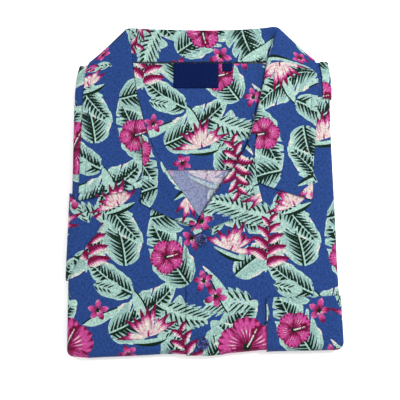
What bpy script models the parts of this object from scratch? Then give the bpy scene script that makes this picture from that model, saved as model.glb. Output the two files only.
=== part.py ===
"""A short-sleeved aloha shirt, buttoned and folded for the shelf, lying face up.

Lengths are in millimetres until a mesh is made. +X is to the viewer's right, +Y runs
from the hem fold to the collar, +Z is up, and the origin lies under the middle of the
folded shirt. "Right" and "left" in a piece's name are the wearer's.

The body lies on top of its own tail: the sides with the sleeves are folded behind,
then the tail is folded up behind them, round a hairpin at the -Y end. Every cloth
piece is a wall that lies a given lift above the rounded stack of hidden layers.
"""

import math

import bmesh
import bpy
import numpy as np

MM = 0.001

# Cloth and stack
CLOTH = 1.2
GAP = 0.3
MID_PLANE = 8.0
BODY_STACK = 5.2
TAIL_STACK = MID_PLANE - GAP - CLOTH
NECK_DROP = 3.0
NECK_SLOPE = 9.0
NECK_RIM = 2.5
NECK_CLEAR = 0.6
HIDDEN_DROP = 0.35
SIDE_ROLL = 5.0
TAIL_INSET = 2.0
SIDE_ROLL_PER_RADIAN = 6.0
SHOULDER_ROLL = 3.0
TAIL_SHARE = 0.085
TAIL_HEM_SHARE = 0.105

# Lifts of the walls' lower faces above the stack
ON_STACK = GAP
ON_FRONT = ON_STACK + CLOTH + GAP
ROUND_FRONT = ON_FRONT + 0.6
LAYER = CLOTH + GAP

# Placket
UNDER_LAP_EDGE = 16.0
LAP_RAMP = 9.0
LAP_TURN = 60.0

# Turned edges: radius of the wall's middle round the roll
FACING_ROLL = 1.9
COLLAR_CLOTH = 1.3
COLLAR_ROLL = 2.1
COLLAR_END_Y = 65.1
COLLAR_TOP_Y = 157.0
LAPEL_TOP_Y = 64.0
PUFF_REACH = 24.0

# Neck, labels, buttons, pocket and sleeves
YOKE_HEM_Y = 19.5
YOKE_TOP_Y = 156.0
BACK_TUCK_Y = 31.0
BACK_LOW_Y = -36.6
PLEAT_X = 4.2
PLEAT_RISE = 0.9
LABEL_CLOTH = 1.0
NECK_LABEL = (-35.4, 20.6, 124.0, 155.8)
SIZE_LABEL = (25.7, 38.1, 146.0, 155.8)
BUTTON_RADIUS = 7.0
BUTTON_THICK = 2.6
BUTTON_RIM = 1.6
BUTTON_WELL_DEPTH = 0.9
BUTTON_HOLE_RADIUS = 0.8
BUTTON_HOLE_OFFSET = 1.4
BUTTONS = (("button_1", -0.7, -65.6), ("button_2", 0.9, -185.5))
POCKET_LEFT_X = 75.5
POCKET_MIDDLE_X = 120.0
POCKET_TOP_Y = -132.5
SLEEVE_STRIP = 3.2
SLEEVE_APEX_Y = -44.0
LEFT_SLEEVE_END_Y = 107.0
LEFT_SLEEVE_DEPTH = 3.5

# Outer edge of the folded body: y, x of the left edge, x of the right edge
SIDE_EDGES = np.array(
    (
        (-205, -156.6, 163.2),
        (-189, -157.0, 163.0),
        (-136, -158.4, 161.8),
        (-95, -158.6, 160.8),
        (-61, -158.2, 160.8),
        (-10, -157.6, 160.0),
        (43, -158.2, 159.2),
        (94, -159.0, 159.2),
        (120, -158.8, 160.4),
        (140, -157.2, 159.4),
        (152, -155.2, 157.6),
        (160, -153.0, 156.6),
    ),
    float,
)

# Edge of the hem fold: x, y
FOLD_EDGE = np.array(
    (
        (-165, -199.5),
        (-150, -201.2),
        (-131, -202.8),
        (-83, -200.9),
        (-45, -198.8),
        (8, -199.3),
        (38, -196.9),
        (74, -193.8),
        (120, -193.0),
        (165, -191.5),
    ),
    float,
)

# Shoulder end of the folded body: x, y
SHOULDER_EDGE = np.array(
    ((-165, 153.5), (-100, 155.0), (0, 156.4), (100, 157.2), (165, 158.0)), float
)

# Line of each turned edge from the placket up round the neck: x, y. The first rows of
# the right one run hidden under the lap.
RIGHT_ROLL = np.array(
    (
        (16.0, -74.0),
        (9.0, -56.0),
        (-3.0, -38.6),
        (-18.2, -15.4),
        (-33.3, 4.3),
        (-51.0, 32.2),
        (-61.0, 50.0),
        (-70.2, 74.8),
        (-75.0, 93.2),
        (-81.5, 118.2),
        (-86.2, 149.4),
        (-88.0, 168.0),
    ),
    float,
)
LEFT_ROLL = np.array(
    (
        (-18.0, -74.0),
        (-16.6, -64.9),
        (-8.8, -51.1),
        (4.4, -27.0),
        (16.0, -9.7),
        (25.3, 4.3),
        (44.1, 31.8),
        (55.9, 50.5),
        (63.4, 77.3),
        (70.8, 104.2),
        (76.0, 128.9),
        (81.3, 157.6),
        (84.6, 168.0),
    ),
    float,
)

# Neck seam under the collar's fall, from the gorge to the shoulder: x, y
RIGHT_SEAM = np.array(
    ((-75.0, 62.0), (-81.0, 78.0), (-89.0, 95.0), (-96.5, 115.0), (-100.5, 135.0), (-99.0, 151.0)),
    float,
)
LEFT_SEAM = np.array(
    ((67.6, 62.0), (73.0, 78.0), (79.5, 95.0), (87.0, 115.0), (92.5, 135.0), (94.0, 152.0)), float
)

# Lapels: x, y along the lower edge from the placket to the tip, and from the tip past
# the notch up the gorge seam
RIGHT_LAPEL_LOW = (
    (-6.6, -45.0),
    (-9.4, -49.2),
    (-16.9, -47.2),
    (-28.4, -43.2),
    (-44.5, -36.2),
    (-60.6, -28.3),
    (-73.9, -20.8),
)
RIGHT_LAPEL_SIDE = ((-73.9, -20.8), (-72.2, -2.0), (-71.8, 22.0), (-72.0, 44.0), (-73.0, 62.6))
LEFT_LAPEL_LOW = (
    (-8.0, -59.6),
    (-2.4, -56.9),
    (18.1, -47.7),
    (36.4, -40.9),
    (53.7, -31.1),
    (72.0, -19.3),
)
LEFT_LAPEL_SIDE = ((72.0, -19.3), (66.6, 4.3), (63.4, 24.0), (62.8, 44.0), (65.4, 62.6))

# Free edges of the collar's fall in front: x, y from the roll down the gorge seam and
# along the lower edge to the tip, and from the tip up the outer edge
RIGHT_FALL_LOW = (
    (-74.6, 63.8),
    (-73.3, 44.0),
    (-72.8, 22.0),
    (-73.1, -1.6),
    (-83.9, -5.0),
    (-113.7, -11.4),
    (-148.0, -18.4),
)
RIGHT_FALL_SIDE = ((-148.0, -18.4), (-147.6, 40.0), (-146.8, 100.0), (-145.6, 132.0))
LEFT_FALL_LOW = (
    (67.2, 63.8),
    (64.2, 44.0),
    (64.6, 24.0),
    (67.6, 4.8),
    (75.3, 1.2),
    (95.0, -6.0),
    (132.4, -17.2),
)
LEFT_FALL_SIDE = ((132.4, -17.2), (135.4, 30.0), (140.2, 75.0), (144.2, 132.0))

# Collar stations from a shoulder to the middle of the back. The seam end, the
# outermost line of the roll and the fall's free edge are x, y, z. Heading is the way
# in the plan from the roll to the cloth. Twist is 0 where the fall lies on top of the
# stand and 180 where it hangs behind it. Sag is how far the stand dips below a straight
# line, which keeps it clear of the front's roll above it.
# seam_x, seam_y, seam_z, roll_x, roll_y, roll_z, edge_x, edge_y, edge_z, heading, twist, sag
RIGHT_TURN = (
    (-93.8, 169.0, 14.3, -88.5, 170.0, 16.7, -144.2, 146.0, 15.9, 187, 14, 0.0),
    (-94.2, 178.2, 15.2, -89.6, 181.0, 17.1, -142.6, 151.5, 15.6, 199, 40, 0.0),
    (-94.5, 186.0, 16.2, -91.5, 191.0, 17.3, -140.3, 156.4, 14.6, 217, 72, 0.0),
    (-95.0, 192.6, 16.0, -93.9, 198.8, 16.7, -137.6, 158.6, 11.8, 236, 102, 0.8),
    (-90.5, 160.0, 11.8, -89.6, 201.6, 15.7, -134.6, 156.8, 8.6, 256, 132, 2.8),
    (-82.0, 159.0, 11.8, -80.0, 201.2, 15.0, -126.0, 148.0, 6.0, 266, 157, 1.8),
    (-62.0, 158.7, 11.8, -61.0, 200.4, 14.7, -86.0, 141.5, 4.4, 270, 173, 1.1),
    (-36.0, 158.5, 11.8, -36.0, 199.7, 14.6, -46.0, 139.5, 3.6, 270, 177, 1.0),
)
LEFT_TURN = (
    (91.0, 170.0, 14.3, 85.6, 171.0, 16.7, 143.4, 149.0, 15.9, 353, 14, 0.0),
    (93.4, 179.4, 15.2, 88.7, 182.0, 17.1, 142.6, 154.5, 15.6, 341, 40, 0.0),
    (94.8, 187.4, 16.2, 91.8, 192.4, 17.3, 141.0, 159.2, 14.6, 323, 72, 0.0),
    (96.0, 194.4, 16.0, 95.0, 200.6, 16.7, 138.6, 161.8, 11.8, 304, 102, 0.8),
    (87.5, 160.2, 11.8, 90.8, 203.4, 15.7, 135.6, 161.5, 8.2, 284, 132, 2.8),
    (79.0, 159.2, 11.8, 80.4, 202.2, 15.0, 126.0, 150.0, 5.7, 274, 157, 1.8),
    (60.0, 158.9, 11.8, 60.0, 200.6, 14.7, 86.0, 142.5, 4.4, 270, 173, 1.1),
    (34.0, 158.6, 11.8, 34.0, 199.2, 14.6, 44.0, 140.0, 3.6, 270, 177, 1.0),
)
BACK_MIDDLE = (-1.0, 158.4, 11.8, -1.0, 198.9, 14.5, -1.0, 139.2, 3.2, 270, 180, 1.0)
COLLAR_BUNCHES = ((-94.9, 192.4, 16.2), (95.8, 194.2, 16.4))
COLLAR_BUNCH_RADIUS = 2.3

# Sleeve corner that wraps the right side onto the front: y, x of its free edge
SLEEVE_EDGE = np.array(
    (
        (-113.5, -157.6),
        (-101.5, -153.6),
        (-93.7, -150.1),
        (-85.8, -145.5),
        (-67.9, -136.7),
        (-56.8, -126.9),
        (-44.0, -119.6),
        (-29.0, -137.9),
        (-19.8, -148.9),
        (-10.0, -157.0),
    ),
    float,
)

COLOURS = {
    "print": (0.030, 0.085, 0.30),
    "leaf": (0.42, 0.68, 0.55),
    "petal": (0.42, 0.03, 0.20),
    "reverse": (0.34, 0.38, 0.60),
    "navy": (0.008, 0.012, 0.050),
}


# ---------------------------------------------------------------- small helpers


def smoothstep(low, high, value):
    share = min(1.0, max(0.0, (value - low) / (high - low)))
    return share * share * (3.0 - 2.0 * share)


def spaced(line, shares):
    """Points at the given shares of a line's length."""
    line = np.asarray(line, float)
    steps = np.linalg.norm(np.diff(line, axis=0), axis=1)
    length = np.concatenate(([0.0], np.cumsum(steps)))
    wanted = np.asarray(shares) * length[-1]
    return np.stack([np.interp(wanted, length, line[:, k]) for k in range(line.shape[1])], axis=1)


def smooth_line(line, parts):
    """Catmull-Rom curve through the rows of `line`, `parts` steps between rows."""
    line = np.asarray(line, float)
    padded = np.vstack((2 * line[0] - line[1], line, 2 * line[-1] - line[-2]))
    rows = []
    for k in range(len(line) - 1):
        before, start, end, after = padded[k : k + 4]
        for step in range(parts):
            t = step / parts
            bend = (2 * before - 5 * start + 4 * end - after) * t**2
            twist = (3 * start - before - 3 * end + after) * t**3
            rows.append(0.5 * (2 * start + (end - before) * t + bend + twist))
    rows.append(line[-1])
    return np.array(rows)


def coons(low, high, start, end):
    """Grid between four edge curves: `low` and `high` run along its rows, `start` and
    `end` join their first and last points."""
    rows, columns = len(start), len(low)
    up = np.linspace(0.0, 1.0, rows)[:, None, None]
    across = spaced_shares(low)[None, :, None]
    ruled = (1 - up) * low[None] + up * high[None] + (1 - across) * start[:, None] + across * end[:, None]
    corners = (1 - up) * ((1 - across) * low[0] + across * low[columns - 1])
    corners = corners + up * ((1 - across) * high[0] + across * high[columns - 1])
    return ruled - corners


def spaced_shares(line):
    steps = np.linalg.norm(np.diff(line, axis=0), axis=1)
    return np.concatenate(([0.0], np.cumsum(steps))) / steps.sum()


def line_x(line, y):
    """x of a line of x, y rows at a given y."""
    return float(np.interp(y, line[:, 1], line[:, 0]))


# ---------------------------------------------------------------- the folded stack


def neck_mask(x, y):
    """1 inside the open neck, 0 under the fronts."""
    inside = min(x - line_x(RIGHT_ROLL, y), line_x(LEFT_ROLL, y) - x)
    return smoothstep(-NECK_RIM, NECK_SLOPE, inside)


def neck_knots(y, rim):
    """x positions across the neck, closest where the stack dips. `rim` is how far the
    first and last lie outside the turned edges."""
    y = max(y, -37.0)
    left, right = line_x(RIGHT_ROLL, y), line_x(LEFT_ROLL, y)
    middle, half = 0.5 * (left + right), 0.5 * (right - left)
    inner = max(0.8, half - NECK_SLOPE)
    slope = [inner + (half + rim - inner) * share for share in (1.0, 0.75, 0.5, 0.25, 0.0)]
    offsets = [*slope, 0.5 * inner]
    return [middle - offset for offset in offsets] + [middle + offset for offset in reversed(offsets)]


def soft_swell(x, y):
    """Broad low swells of the stack under the fronts."""
    crossing = 0.35 * math.sin(x / 31.0 + 0.8) * math.sin(y / 47.0 + 0.4)
    return crossing + 0.25 * math.sin((x + 0.7 * y) / 26.0) - 0.2


def stack_height(x, y, turn):
    """Thickness of the hidden layers above (turn 0) or below (turn pi) the mid plane."""
    open_neck = neck_mask(x, y)
    body = BODY_STACK - NECK_DROP * open_neck + soft_swell(x, y) * (1.0 - open_neck)
    return body + (TAIL_STACK - body) * tail_share(turn)


def tail_share(turn):
    """0 on the body, 1 on the tail, in between round the hairpin."""
    return 0.5 - 0.5 * math.cos(turn)


def side_limit(side, y):
    """Distance from the centre line to where the side's roll starts."""
    column = 1 if side < 0 else 2
    edge = side * float(np.interp(y, SIDE_EDGES[:, 0], SIDE_EDGES[:, column]))
    return edge - SIDE_ROLL - GAP - CLOTH


def fold_axis(x):
    """y of the hairpin's axis at x."""
    edge = float(np.interp(x, FOLD_EDGE[:, 0], FOLD_EDGE[:, 1]))
    return edge + 0.5 * (BODY_STACK + TAIL_STACK) + GAP + CLOTH


def shoulder_axis(x):
    """y where the body's end starts to round down at x."""
    edge = float(np.interp(x, SHOULDER_EDGE[:, 0], SHOULDER_EDGE[:, 1]))
    return edge - SHOULDER_ROLL - GAP - CLOTH


def body_row(share):
    """A row across the body, at a share of the way from shoulder to hem fold."""
    return {"share": share, "turn": 0.0, "end": 0.5 * math.pi}


def shoulder_row(angle):
    """A row where the body's end rounds down: 90 on top, 0 at its outermost."""
    return {"share": 0.0, "turn": 0.0, "end": math.radians(angle)}


def fold_row(angle):
    """A row round the hairpin: 0 on top, 180 underneath."""
    return {"share": 1.0, "turn": math.radians(angle), "end": 0.5 * math.pi}


def tail_row(share):
    return {"share": share, "turn": math.pi, "end": 0.5 * math.pi}


def share_of(y, x=0.0):
    """Share of the way from shoulder to hem fold at which x, y lies."""
    return (shoulder_axis(x) - y) / (shoulder_axis(x) - fold_axis(x))


def row_y(row, x):
    """y at which a row crosses x, before any rounding at the ends."""
    return shoulder_axis(x) + row["share"] * (fold_axis(x) - shoulder_axis(x))


def stack_point(side, depth, row, lift):
    """A point `lift` above the stack. `depth` is how far it lies inside the side's roll;
    below 0 it runs on round the roll towards the groove."""
    turn, end = row["turn"], row["end"]
    limit = side_limit(side, row_y(row, 0.0))
    flat = math.sin(end)
    roll = SIDE_ROLL - TAIL_INSET * tail_share(turn)
    if depth >= 0.0:
        x = side * (limit - depth)
        height = stack_height(x, row_y(row, x), turn)
        rise = 0.5 * height + lift
    else:
        angle = 0.5 * math.pi + depth / SIDE_ROLL_PER_RADIAN
        height = stack_height(side * limit, row_y(row, side * limit), turn)
        rise = (0.5 * height + lift) * math.sin(angle)
        x = side * (limit + (roll * math.sqrt(max(flat, 0.0)) + lift) * math.cos(angle))
    high = 0.5 * height + rise * flat
    y = row_y(row, x) + (SHOULDER_ROLL + lift) * math.cos(end) - high * math.sin(turn)
    return (x, y, MID_PLANE + high * math.cos(turn))


def surface_z(x, y, lift):
    """Height of a point at x, y, `lift` above the body's stack."""
    return MID_PLANE + stack_height(x, y, 0.0) + lift


def lap_lift(x, y, turn=0.0):
    """How far the lapped left front is raised by the right front under it."""
    beyond = x - line_x(RIGHT_ROLL, y) - 6.0
    past = smoothstep(LAP_TURN, LAP_TURN + 50.0, math.degrees(turn))
    return LAYER * (1.0 - smoothstep(0.0, LAP_RAMP, beyond)) * (1.0 - past)


# ---------------------------------------------------------------- meshes and objects


def make_object(name, mesh_data, colour, roughness=0.85):
    """A mesh object with its own cloth or plastic material."""
    mesh = bpy.data.meshes.new(name)
    bmesh.ops.triangulate(mesh_data, faces=mesh_data.faces)
    mesh_data.to_mesh(mesh)
    mesh_data.free()
    material = bpy.data.materials.new(name)
    material.use_nodes = True
    shader = material.node_tree.nodes["Principled BSDF"]
    shader.inputs["Base Color"].default_value = (*COLOURS[colour], 1.0)
    shader.inputs["Roughness"].default_value = roughness
    mesh.materials.append(material)
    piece = bpy.data.objects.new(name, mesh)
    bpy.data.collections["aloha_shirt"].objects.link(piece)
    mesh.shade_smooth()
    mesh.set_sharp_from_angle(angle=math.radians(40.0))
    return piece


def closed_wall(lower, upper):
    """The solid between two grids of points, as a bmesh."""
    wall = bmesh.new()
    bottom, top = (
        [[wall.verts.new(np.array(point) * MM) for point in row] for row in face]
        for face in (lower, upper)
    )
    rows, columns = len(top), len(top[0])
    for r in range(rows - 1):
        for c in range(columns - 1):
            wall.faces.new((top[r][c], top[r][c + 1], top[r + 1][c + 1], top[r + 1][c]))
            wall.faces.new((bottom[r][c], bottom[r + 1][c], bottom[r + 1][c + 1], bottom[r][c + 1]))
    for r in range(rows - 1):
        for c in (0, columns - 1):
            wall.faces.new((bottom[r][c], bottom[r + 1][c], top[r + 1][c], top[r][c]))
    for c in range(columns - 1):
        for r in (0, rows - 1):
            wall.faces.new((bottom[r][c], bottom[r][c + 1], top[r][c + 1], top[r][c]))
    bmesh.ops.recalc_face_normals(wall, faces=wall.faces)
    return wall


def thick_wall(middle, thickness):
    """The solid whose middle surface is a grid of points."""
    normal = np.cross(np.gradient(middle, axis=1), np.gradient(middle, axis=0))
    normal /= np.linalg.norm(normal, axis=2, keepdims=True)
    return closed_wall(middle - 0.5 * thickness * normal, middle + 0.5 * thickness * normal)


def stack_wall(side, rows, depths, lift, thickness):
    """A wall that lies on the stack. `depths`, `lift` and `thickness` are functions of
    the row, of the point's side, depth and row, and of the column."""
    grids = []
    for upper in (0.0, 1.0):
        grid = []
        for row in rows:
            line = []
            for column, depth in enumerate(depths(row)):
                raised = lift(depth, row) + upper * thickness(column, row)
                line.append(stack_point(side, depth, row, raised))
            grid.append(line)
        grids.append(grid)
    return closed_wall(*grids)


def patch_wall(ys, across, lift, thickness=CLOTH):
    """A flat piece laid on the body's stack. `across` gives its x positions at a y."""
    lower, upper = [], []
    for y in ys:
        xs = across(y)
        lower.append([(x, y, surface_z(x, y, lift(x, y))) for x in xs])
        upper.append([(x, y, surface_z(x, y, lift(x, y) + thickness)) for x in xs])
    return closed_wall(lower, upper)


# ---------------------------------------------------------------- hidden layers


def folded_section(row):
    """A closed ring of the folded layers: over the top, round both sides and back along
    the inner face, which lies beside the other lobe's."""
    rolls = [-SIDE_ROLL_PER_RADIAN * math.radians(angle) for angle in (26, 52, 80, 114, 150)]
    y = row_y(row, 0.0)
    limits = {side: side_limit(side, y) for side in (-1, 1)}
    knots = neck_knots(y, NECK_RIM)
    across = [-limits[-1] + (knots[0] + limits[-1]) * share for share in (0.0, 0.25, 0.5, 0.75)]
    across += knots
    across += [limits[1] + (knots[-1] - limits[1]) * share for share in (0.75, 0.5, 0.25, 0.0)]
    ring = [stack_point(-1, depth, row, -HIDDEN_DROP) for depth in reversed(rolls)]
    for x in across:
        side = -1 if x < 0.0 else 1
        ring.append(stack_point(side, limits[side] - side * x, row, -HIDDEN_DROP))
    ring += [stack_point(1, depth, row, -HIDDEN_DROP) for depth in rolls]
    turn = row["turn"]
    for share in (0.0, 0.2, 0.4, 0.6, 0.8, 1.0):
        x = limits[1] - (limits[1] + limits[-1]) * share
        inner_y = row_y(row, x) - 0.5 * GAP * math.sin(turn)
        ring.append((x, inner_y, MID_PLANE + 0.5 * GAP * math.cos(turn)))
    return np.array(ring)


def stepped(ring, number, forward, share):
    """A ring moved forward and flattened towards its inner face. That face and the side
    rolls only creep forward with the number of the step."""
    inner = ring[-1]
    low, high = ring[-1, 0], ring[-6, 0]
    flat = (ring[:, 0] > low - 0.01) & (ring[:, 0] < high + 0.01)
    flat[-6:] = False
    result = ring.copy()
    result[:, 1] += np.where(flat, forward, 0.08 * (number + 1))
    result[:, 2] = inner[2] + (ring[:, 2] - inner[2]) * share
    result[:, 0] = np.where(ring[:, 0] < low, low + (ring[:, 0] - low) * share, result[:, 0])
    result[:, 0] = np.where(ring[:, 0] > high, high + (ring[:, 0] - high) * share, result[:, 0])
    return result


def make_folded_layers():
    """The hidden layers as one rounded solid, with a step for each layer at its ends."""
    body_shares = [0.0, 0.04, TAIL_SHARE, *np.linspace(0.15, 1.0, 15)]
    rows = [body_row(share) for share in body_shares]
    rows += [fold_row(angle) for angle in range(30, 180, 30)]
    rows += [tail_row(share) for share in reversed(body_shares[2:])]
    sections = [folded_section(row) for row in rows]
    # Forward and height share of each layer's edge, from the outer layer in.
    body_steps = ((1.9, 0.86), (2.4, 0.72), (1.3, 0.69), (2.6, 0.58), (2.6, 0.46), (1.3, 0.43))
    body_steps += ((2.2, 0.34), (1.8, 0.2), (0.9, 0.14))
    tail_steps = ((1.2, 0.9), (1.8, 0.72), (0.4, 0.67), (2.6, 0.58), (2.6, 0.4), (0.8, 0.35))
    tail_steps += ((1.8, 0.24), (1.2, 0.1))
    loop = [stepped(sections[0], k, *step) for k, step in enumerate(body_steps)][::-1]
    loop += sections
    loop += [stepped(sections[-1], k, *step) for k, step in enumerate(tail_steps)]

    layers = bmesh.new()
    rings = [[layers.verts.new(point * MM) for point in ring] for ring in loop]
    count = len(rings[0])
    for first, second in zip(rings, rings[1:]):
        for c in range(count):
            following = (c + 1) % count
            layers.faces.new((first[c], first[following], second[following], second[c]))
    layers.faces.new(rings[0])
    layers.faces.new(rings[-1])
    bmesh.ops.recalc_face_normals(layers, faces=layers.faces)
    return layers


# ---------------------------------------------------------------- fronts and what lies on them


def neck_edge(roll, seam, y):
    """x of a front's cut edge: beside the lapel's roll, then along the neck seam."""
    side = -1.0 if roll is RIGHT_ROLL else 1.0
    slope = (line_x(roll, y + 4.0) - line_x(roll, y - 4.0)) / 8.0
    turned = (FACING_ROLL + 0.5 * CLOTH + 3.0 * GAP) * math.hypot(1.0, slope)
    turned *= smoothstep(-60.0, -42.0, y) if roll is RIGHT_ROLL else smoothstep(-74.0, -63.0, y)
    beside_roll = line_x(roll, y) + side * turned
    beside_seam = line_x(seam, y) + side * 3.0 * GAP
    share = smoothstep(54.0, 63.0, y)
    return beside_roll + (beside_seam - beside_roll) * share


def side_rolls(last_angle):
    """Depths round the side's roll, down to an angle from its top."""
    count = max(2, round(last_angle / 26.0))
    return [-SIDE_ROLL_PER_RADIAN * math.radians(last_angle * (k + 1) / count) for k in range(count)]


def edge_depth(side, row, edge):
    """Depth of a front's inner edge in a row."""
    x = edge(row_y(row, 0.0))
    x = edge(row_y(row, x))
    return side_limit(side, row_y(row, 0.0)) - side * x


def make_front(side):
    """One front: over the body, round the side, down the hairpin and under the tail."""
    roll, seam = (RIGHT_ROLL, RIGHT_SEAM) if side < 0 else (LEFT_ROLL, LEFT_SEAM)
    key_ys = (135, 115, 95, 78, 66, 62, 58, 53, 44, 30, 14, -4, -18, -30, -40, -50, -57, -62, -67, -75)
    key_ys += (-100, -130, -162)
    rows = [shoulder_row(24), shoulder_row(55), body_row(0.0)]
    rows += [body_row(share_of(y)) for y in key_ys] + [body_row(1.0)]
    rows += [fold_row(angle) for angle in (25, 50, 75, 100, 125, 150)]
    rows += [tail_row(share) for share in (1.0, 0.75, 0.5, 0.25, TAIL_HEM_SHARE)]

    def edge(row):
        turn = math.degrees(row["turn"])
        x = edge_depth(side, row, lambda y: neck_edge(roll, seam, y))
        if side < 0:
            tucked = smoothstep(10.0, LAP_TURN - 5.0, turn)
            x -= tucked * (UNDER_LAP_EDGE - LEFT_ROLL[0, 0] + 2.0 * GAP)
        return x

    shares = (0.0, 0.06, 0.13, 0.19, 0.24, 0.3, 0.42, 0.6, 0.8, 1.0)

    def depths(row):
        return [edge(row) * (1.0 - share) for share in shares] + side_rolls(128.0)

    def lift(depth, row):
        if side < 0 or depth < 0.0:
            return ON_STACK
        x = side_limit(side, row_y(row, 0.0)) - depth
        return ON_STACK + lap_lift(x, row_y(row, x), row["turn"])

    return stack_wall(side, rows, depths, lift, lambda column, row: CLOTH)


def make_lapel(side):
    """A front's turned-out facing: rolled at the neck edge and laid flat on the front."""
    right = side < 0
    roll = RIGHT_ROLL if right else LEFT_ROLL
    low_y = -38.6 if right else -60.0
    ys = np.linspace(low_y, LAPEL_TOP_Y, 15)
    line = np.array([(line_x(roll, y), y) for y in ys])
    heading = np.gradient(line, axis=0)
    heading /= np.linalg.norm(heading, axis=1, keepdims=True)
    outward = heading[:, ::-1] * ((-1.0, 1.0) if right else (1.0, -1.0))
    centre = line + outward * (FACING_ROLL + 0.5 * CLOTH)

    low = np.vstack((centre[0], RIGHT_LAPEL_LOW if right else LEFT_LAPEL_LOW))
    shares = (0.0, 0.05, 0.11, 0.18, 0.27, 0.38, 0.5, 0.64, 0.8, 0.93, 1.0)
    low = spaced(low, shares)
    end = spaced(RIGHT_LAPEL_SIDE if right else LEFT_LAPEL_SIDE, np.linspace(0.0, 1.0, len(ys)))
    high = spaced((centre[-1], end[-1]), shares)
    flat = coons(low, high, centre, end)

    def lowest(x, y):
        return ON_STACK + 0.5 * CLOTH + (0.0 if right else lap_lift(x, y))

    rows = []
    for k in range(len(ys)):
        cx, cy = centre[k]
        base = surface_z(cx, cy, lowest(cx, cy))
        line_points = []
        for angle in (-90.0, -50.0, -12.0, 26.0, 58.0):
            out = FACING_ROLL * math.cos(math.radians(angle))
            up = FACING_ROLL * (1.0 + math.sin(math.radians(angle)))
            line_points.append((cx - outward[k, 0] * out, cy - outward[k, 1] * out, base + up))
        for x, y in flat[k]:
            near = 1.0 - smoothstep(0.0, PUFF_REACH, math.hypot(x - cx, y - cy))
            flat_rise = LAYER + 0.25
            raised = flat_rise + (2.0 * FACING_ROLL - flat_rise) * near
            line_points.append((x, y, surface_z(x, y, lowest(x, y) + raised)))
        rows.append(line_points)
    return thick_wall(np.array(rows), CLOTH)


def make_pocket():
    """Patch pocket on the left front; the side roll and the hem fold hide its far edges."""
    rows = [body_row(share_of(y, POCKET_MIDDLE_X)) for y in (POCKET_TOP_Y, -150.0, -168.0)]
    rows.append(body_row(1.0))
    rows += [fold_row(angle) for angle in (25, 50, 75, 100)]

    def depths(row):
        inner = side_limit(1, row_y(row, 0.0)) - POCKET_LEFT_X
        return [inner * (1.0 - share) for share in (0.0, 0.25, 0.5, 0.75, 1.0)] + side_rolls(104.0)

    return stack_wall(1, rows, depths, lambda depth, row: ROUND_FRONT, lambda column, row: CLOTH)


def make_right_sleeve():
    """Corner of the right sleeve, folded round the side onto the front. Its two layers
    part along the hem, so that the under one shows as a narrow strip."""
    ys = (-10.0, -20.0, -29.0, -37.0, SLEEVE_APEX_Y, -51.0, -60.0, -72.0, -85.0, -99.0, -113.5)
    rows = [body_row(share_of(y, -SIDE_EDGES[4, 1])) for y in ys]

    def depths(row):
        y = row_y(row, 0.0)
        free = side_limit(-1, y) + float(np.interp(y, SLEEVE_EDGE[:, 0], -SLEEVE_EDGE[:, 1])) * -1.0
        strip = 0.5 + (SLEEVE_STRIP - 0.5) * smoothstep(SLEEVE_APEX_Y + 4.0, SLEEVE_APEX_Y - 12.0, y)
        last = -SIDE_ROLL_PER_RADIAN * math.radians(124.0)
        start = free - strip - 0.5
        shares = (0.0, 0.3, 0.5, 0.62, 0.73, 0.83, 0.92, 1.0)
        return [free, free - strip, *(start + (last - start) * share for share in shares)]

    def thickness(column, row):
        return CLOTH if column < 2 else 2.0 * CLOTH

    return stack_wall(-1, rows, depths, lambda depth, row: ROUND_FRONT, thickness)


def make_left_sleeve():
    """Edge of the left sleeve's cap, folded round the side at the shoulder."""
    ys = (140.0, 128.0, 117.0, LEFT_SLEEVE_END_Y)
    rows = [shoulder_row(55), body_row(0.0)] + [body_row(share_of(y)) for y in ys]
    depths = [LEFT_SLEEVE_DEPTH, 0.0] + side_rolls(120.0)
    return stack_wall(1, rows, lambda row: depths, lambda depth, row: ROUND_FRONT, lambda column, row: CLOTH)


# ---------------------------------------------------------------- inside the neck


def neck_row(y):
    """x positions across a piece that fills the neck between the turned edges."""
    return np.array(neck_knots(y, -NECK_CLEAR))


def make_back_panel():
    """The back's wrong side below the yoke, with the edge of its centre pleat."""

    def lift(x, y):
        return ON_STACK + PLEAT_RISE * (1.0 - smoothstep(PLEAT_X - 0.6, PLEAT_X + 0.6, x))

    def across(y):
        """The neck's columns, two of them moved to the pleat's edge where they reach it."""
        xs = neck_row(y)
        nearest = int(np.clip(np.searchsorted(xs, PLEAT_X), 2, len(xs) - 2))
        if xs[nearest - 2] < PLEAT_X - 1.5 and xs[nearest + 1] > PLEAT_X + 1.5:
            xs[nearest - 1 : nearest + 1] = PLEAT_X - 0.7, PLEAT_X + 0.7
        return xs

    return patch_wall(np.linspace(BACK_LOW_Y, BACK_TUCK_Y, 10), across, lift)


def make_yoke_lining():
    """The yoke's inner layer, from its hem over the back panel to the neck seam."""

    def lift(x, y):
        over_back = 1.0 - smoothstep(BACK_TUCK_Y + 1.0, BACK_TUCK_Y + 14.0, y)
        return ON_STACK + (LAYER + PLEAT_RISE) * over_back

    ys = (YOKE_HEM_Y, 26.0, 32.0, 38.0, 45.0, 56.0, 68.0, 82.0, 98.0, 115.0, 132.0, 147.0, YOKE_TOP_Y)
    return patch_wall(ys, neck_row, lift)


def make_back_yoke():
    """The outer yoke where it turns over the shoulder end behind the neck."""
    xs = np.linspace(-104.0, 104.0, 11)
    lower, upper = [], []
    for angle in (12.0, -3.0, -18.0, -35.0):
        row = shoulder_row(angle)
        line = [[], []]
        for x in xs:
            side = -1 if x < 0 else 1
            depth = side_limit(side, row_y(row, 0.0)) - abs(x)
            for grid, lift in zip(line, (ON_STACK, ON_STACK + CLOTH)):
                grid.append(stack_point(side, depth, row, lift))
        lower.append(line[0])
        upper.append(line[1])
    return closed_wall(lower, upper)


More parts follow.
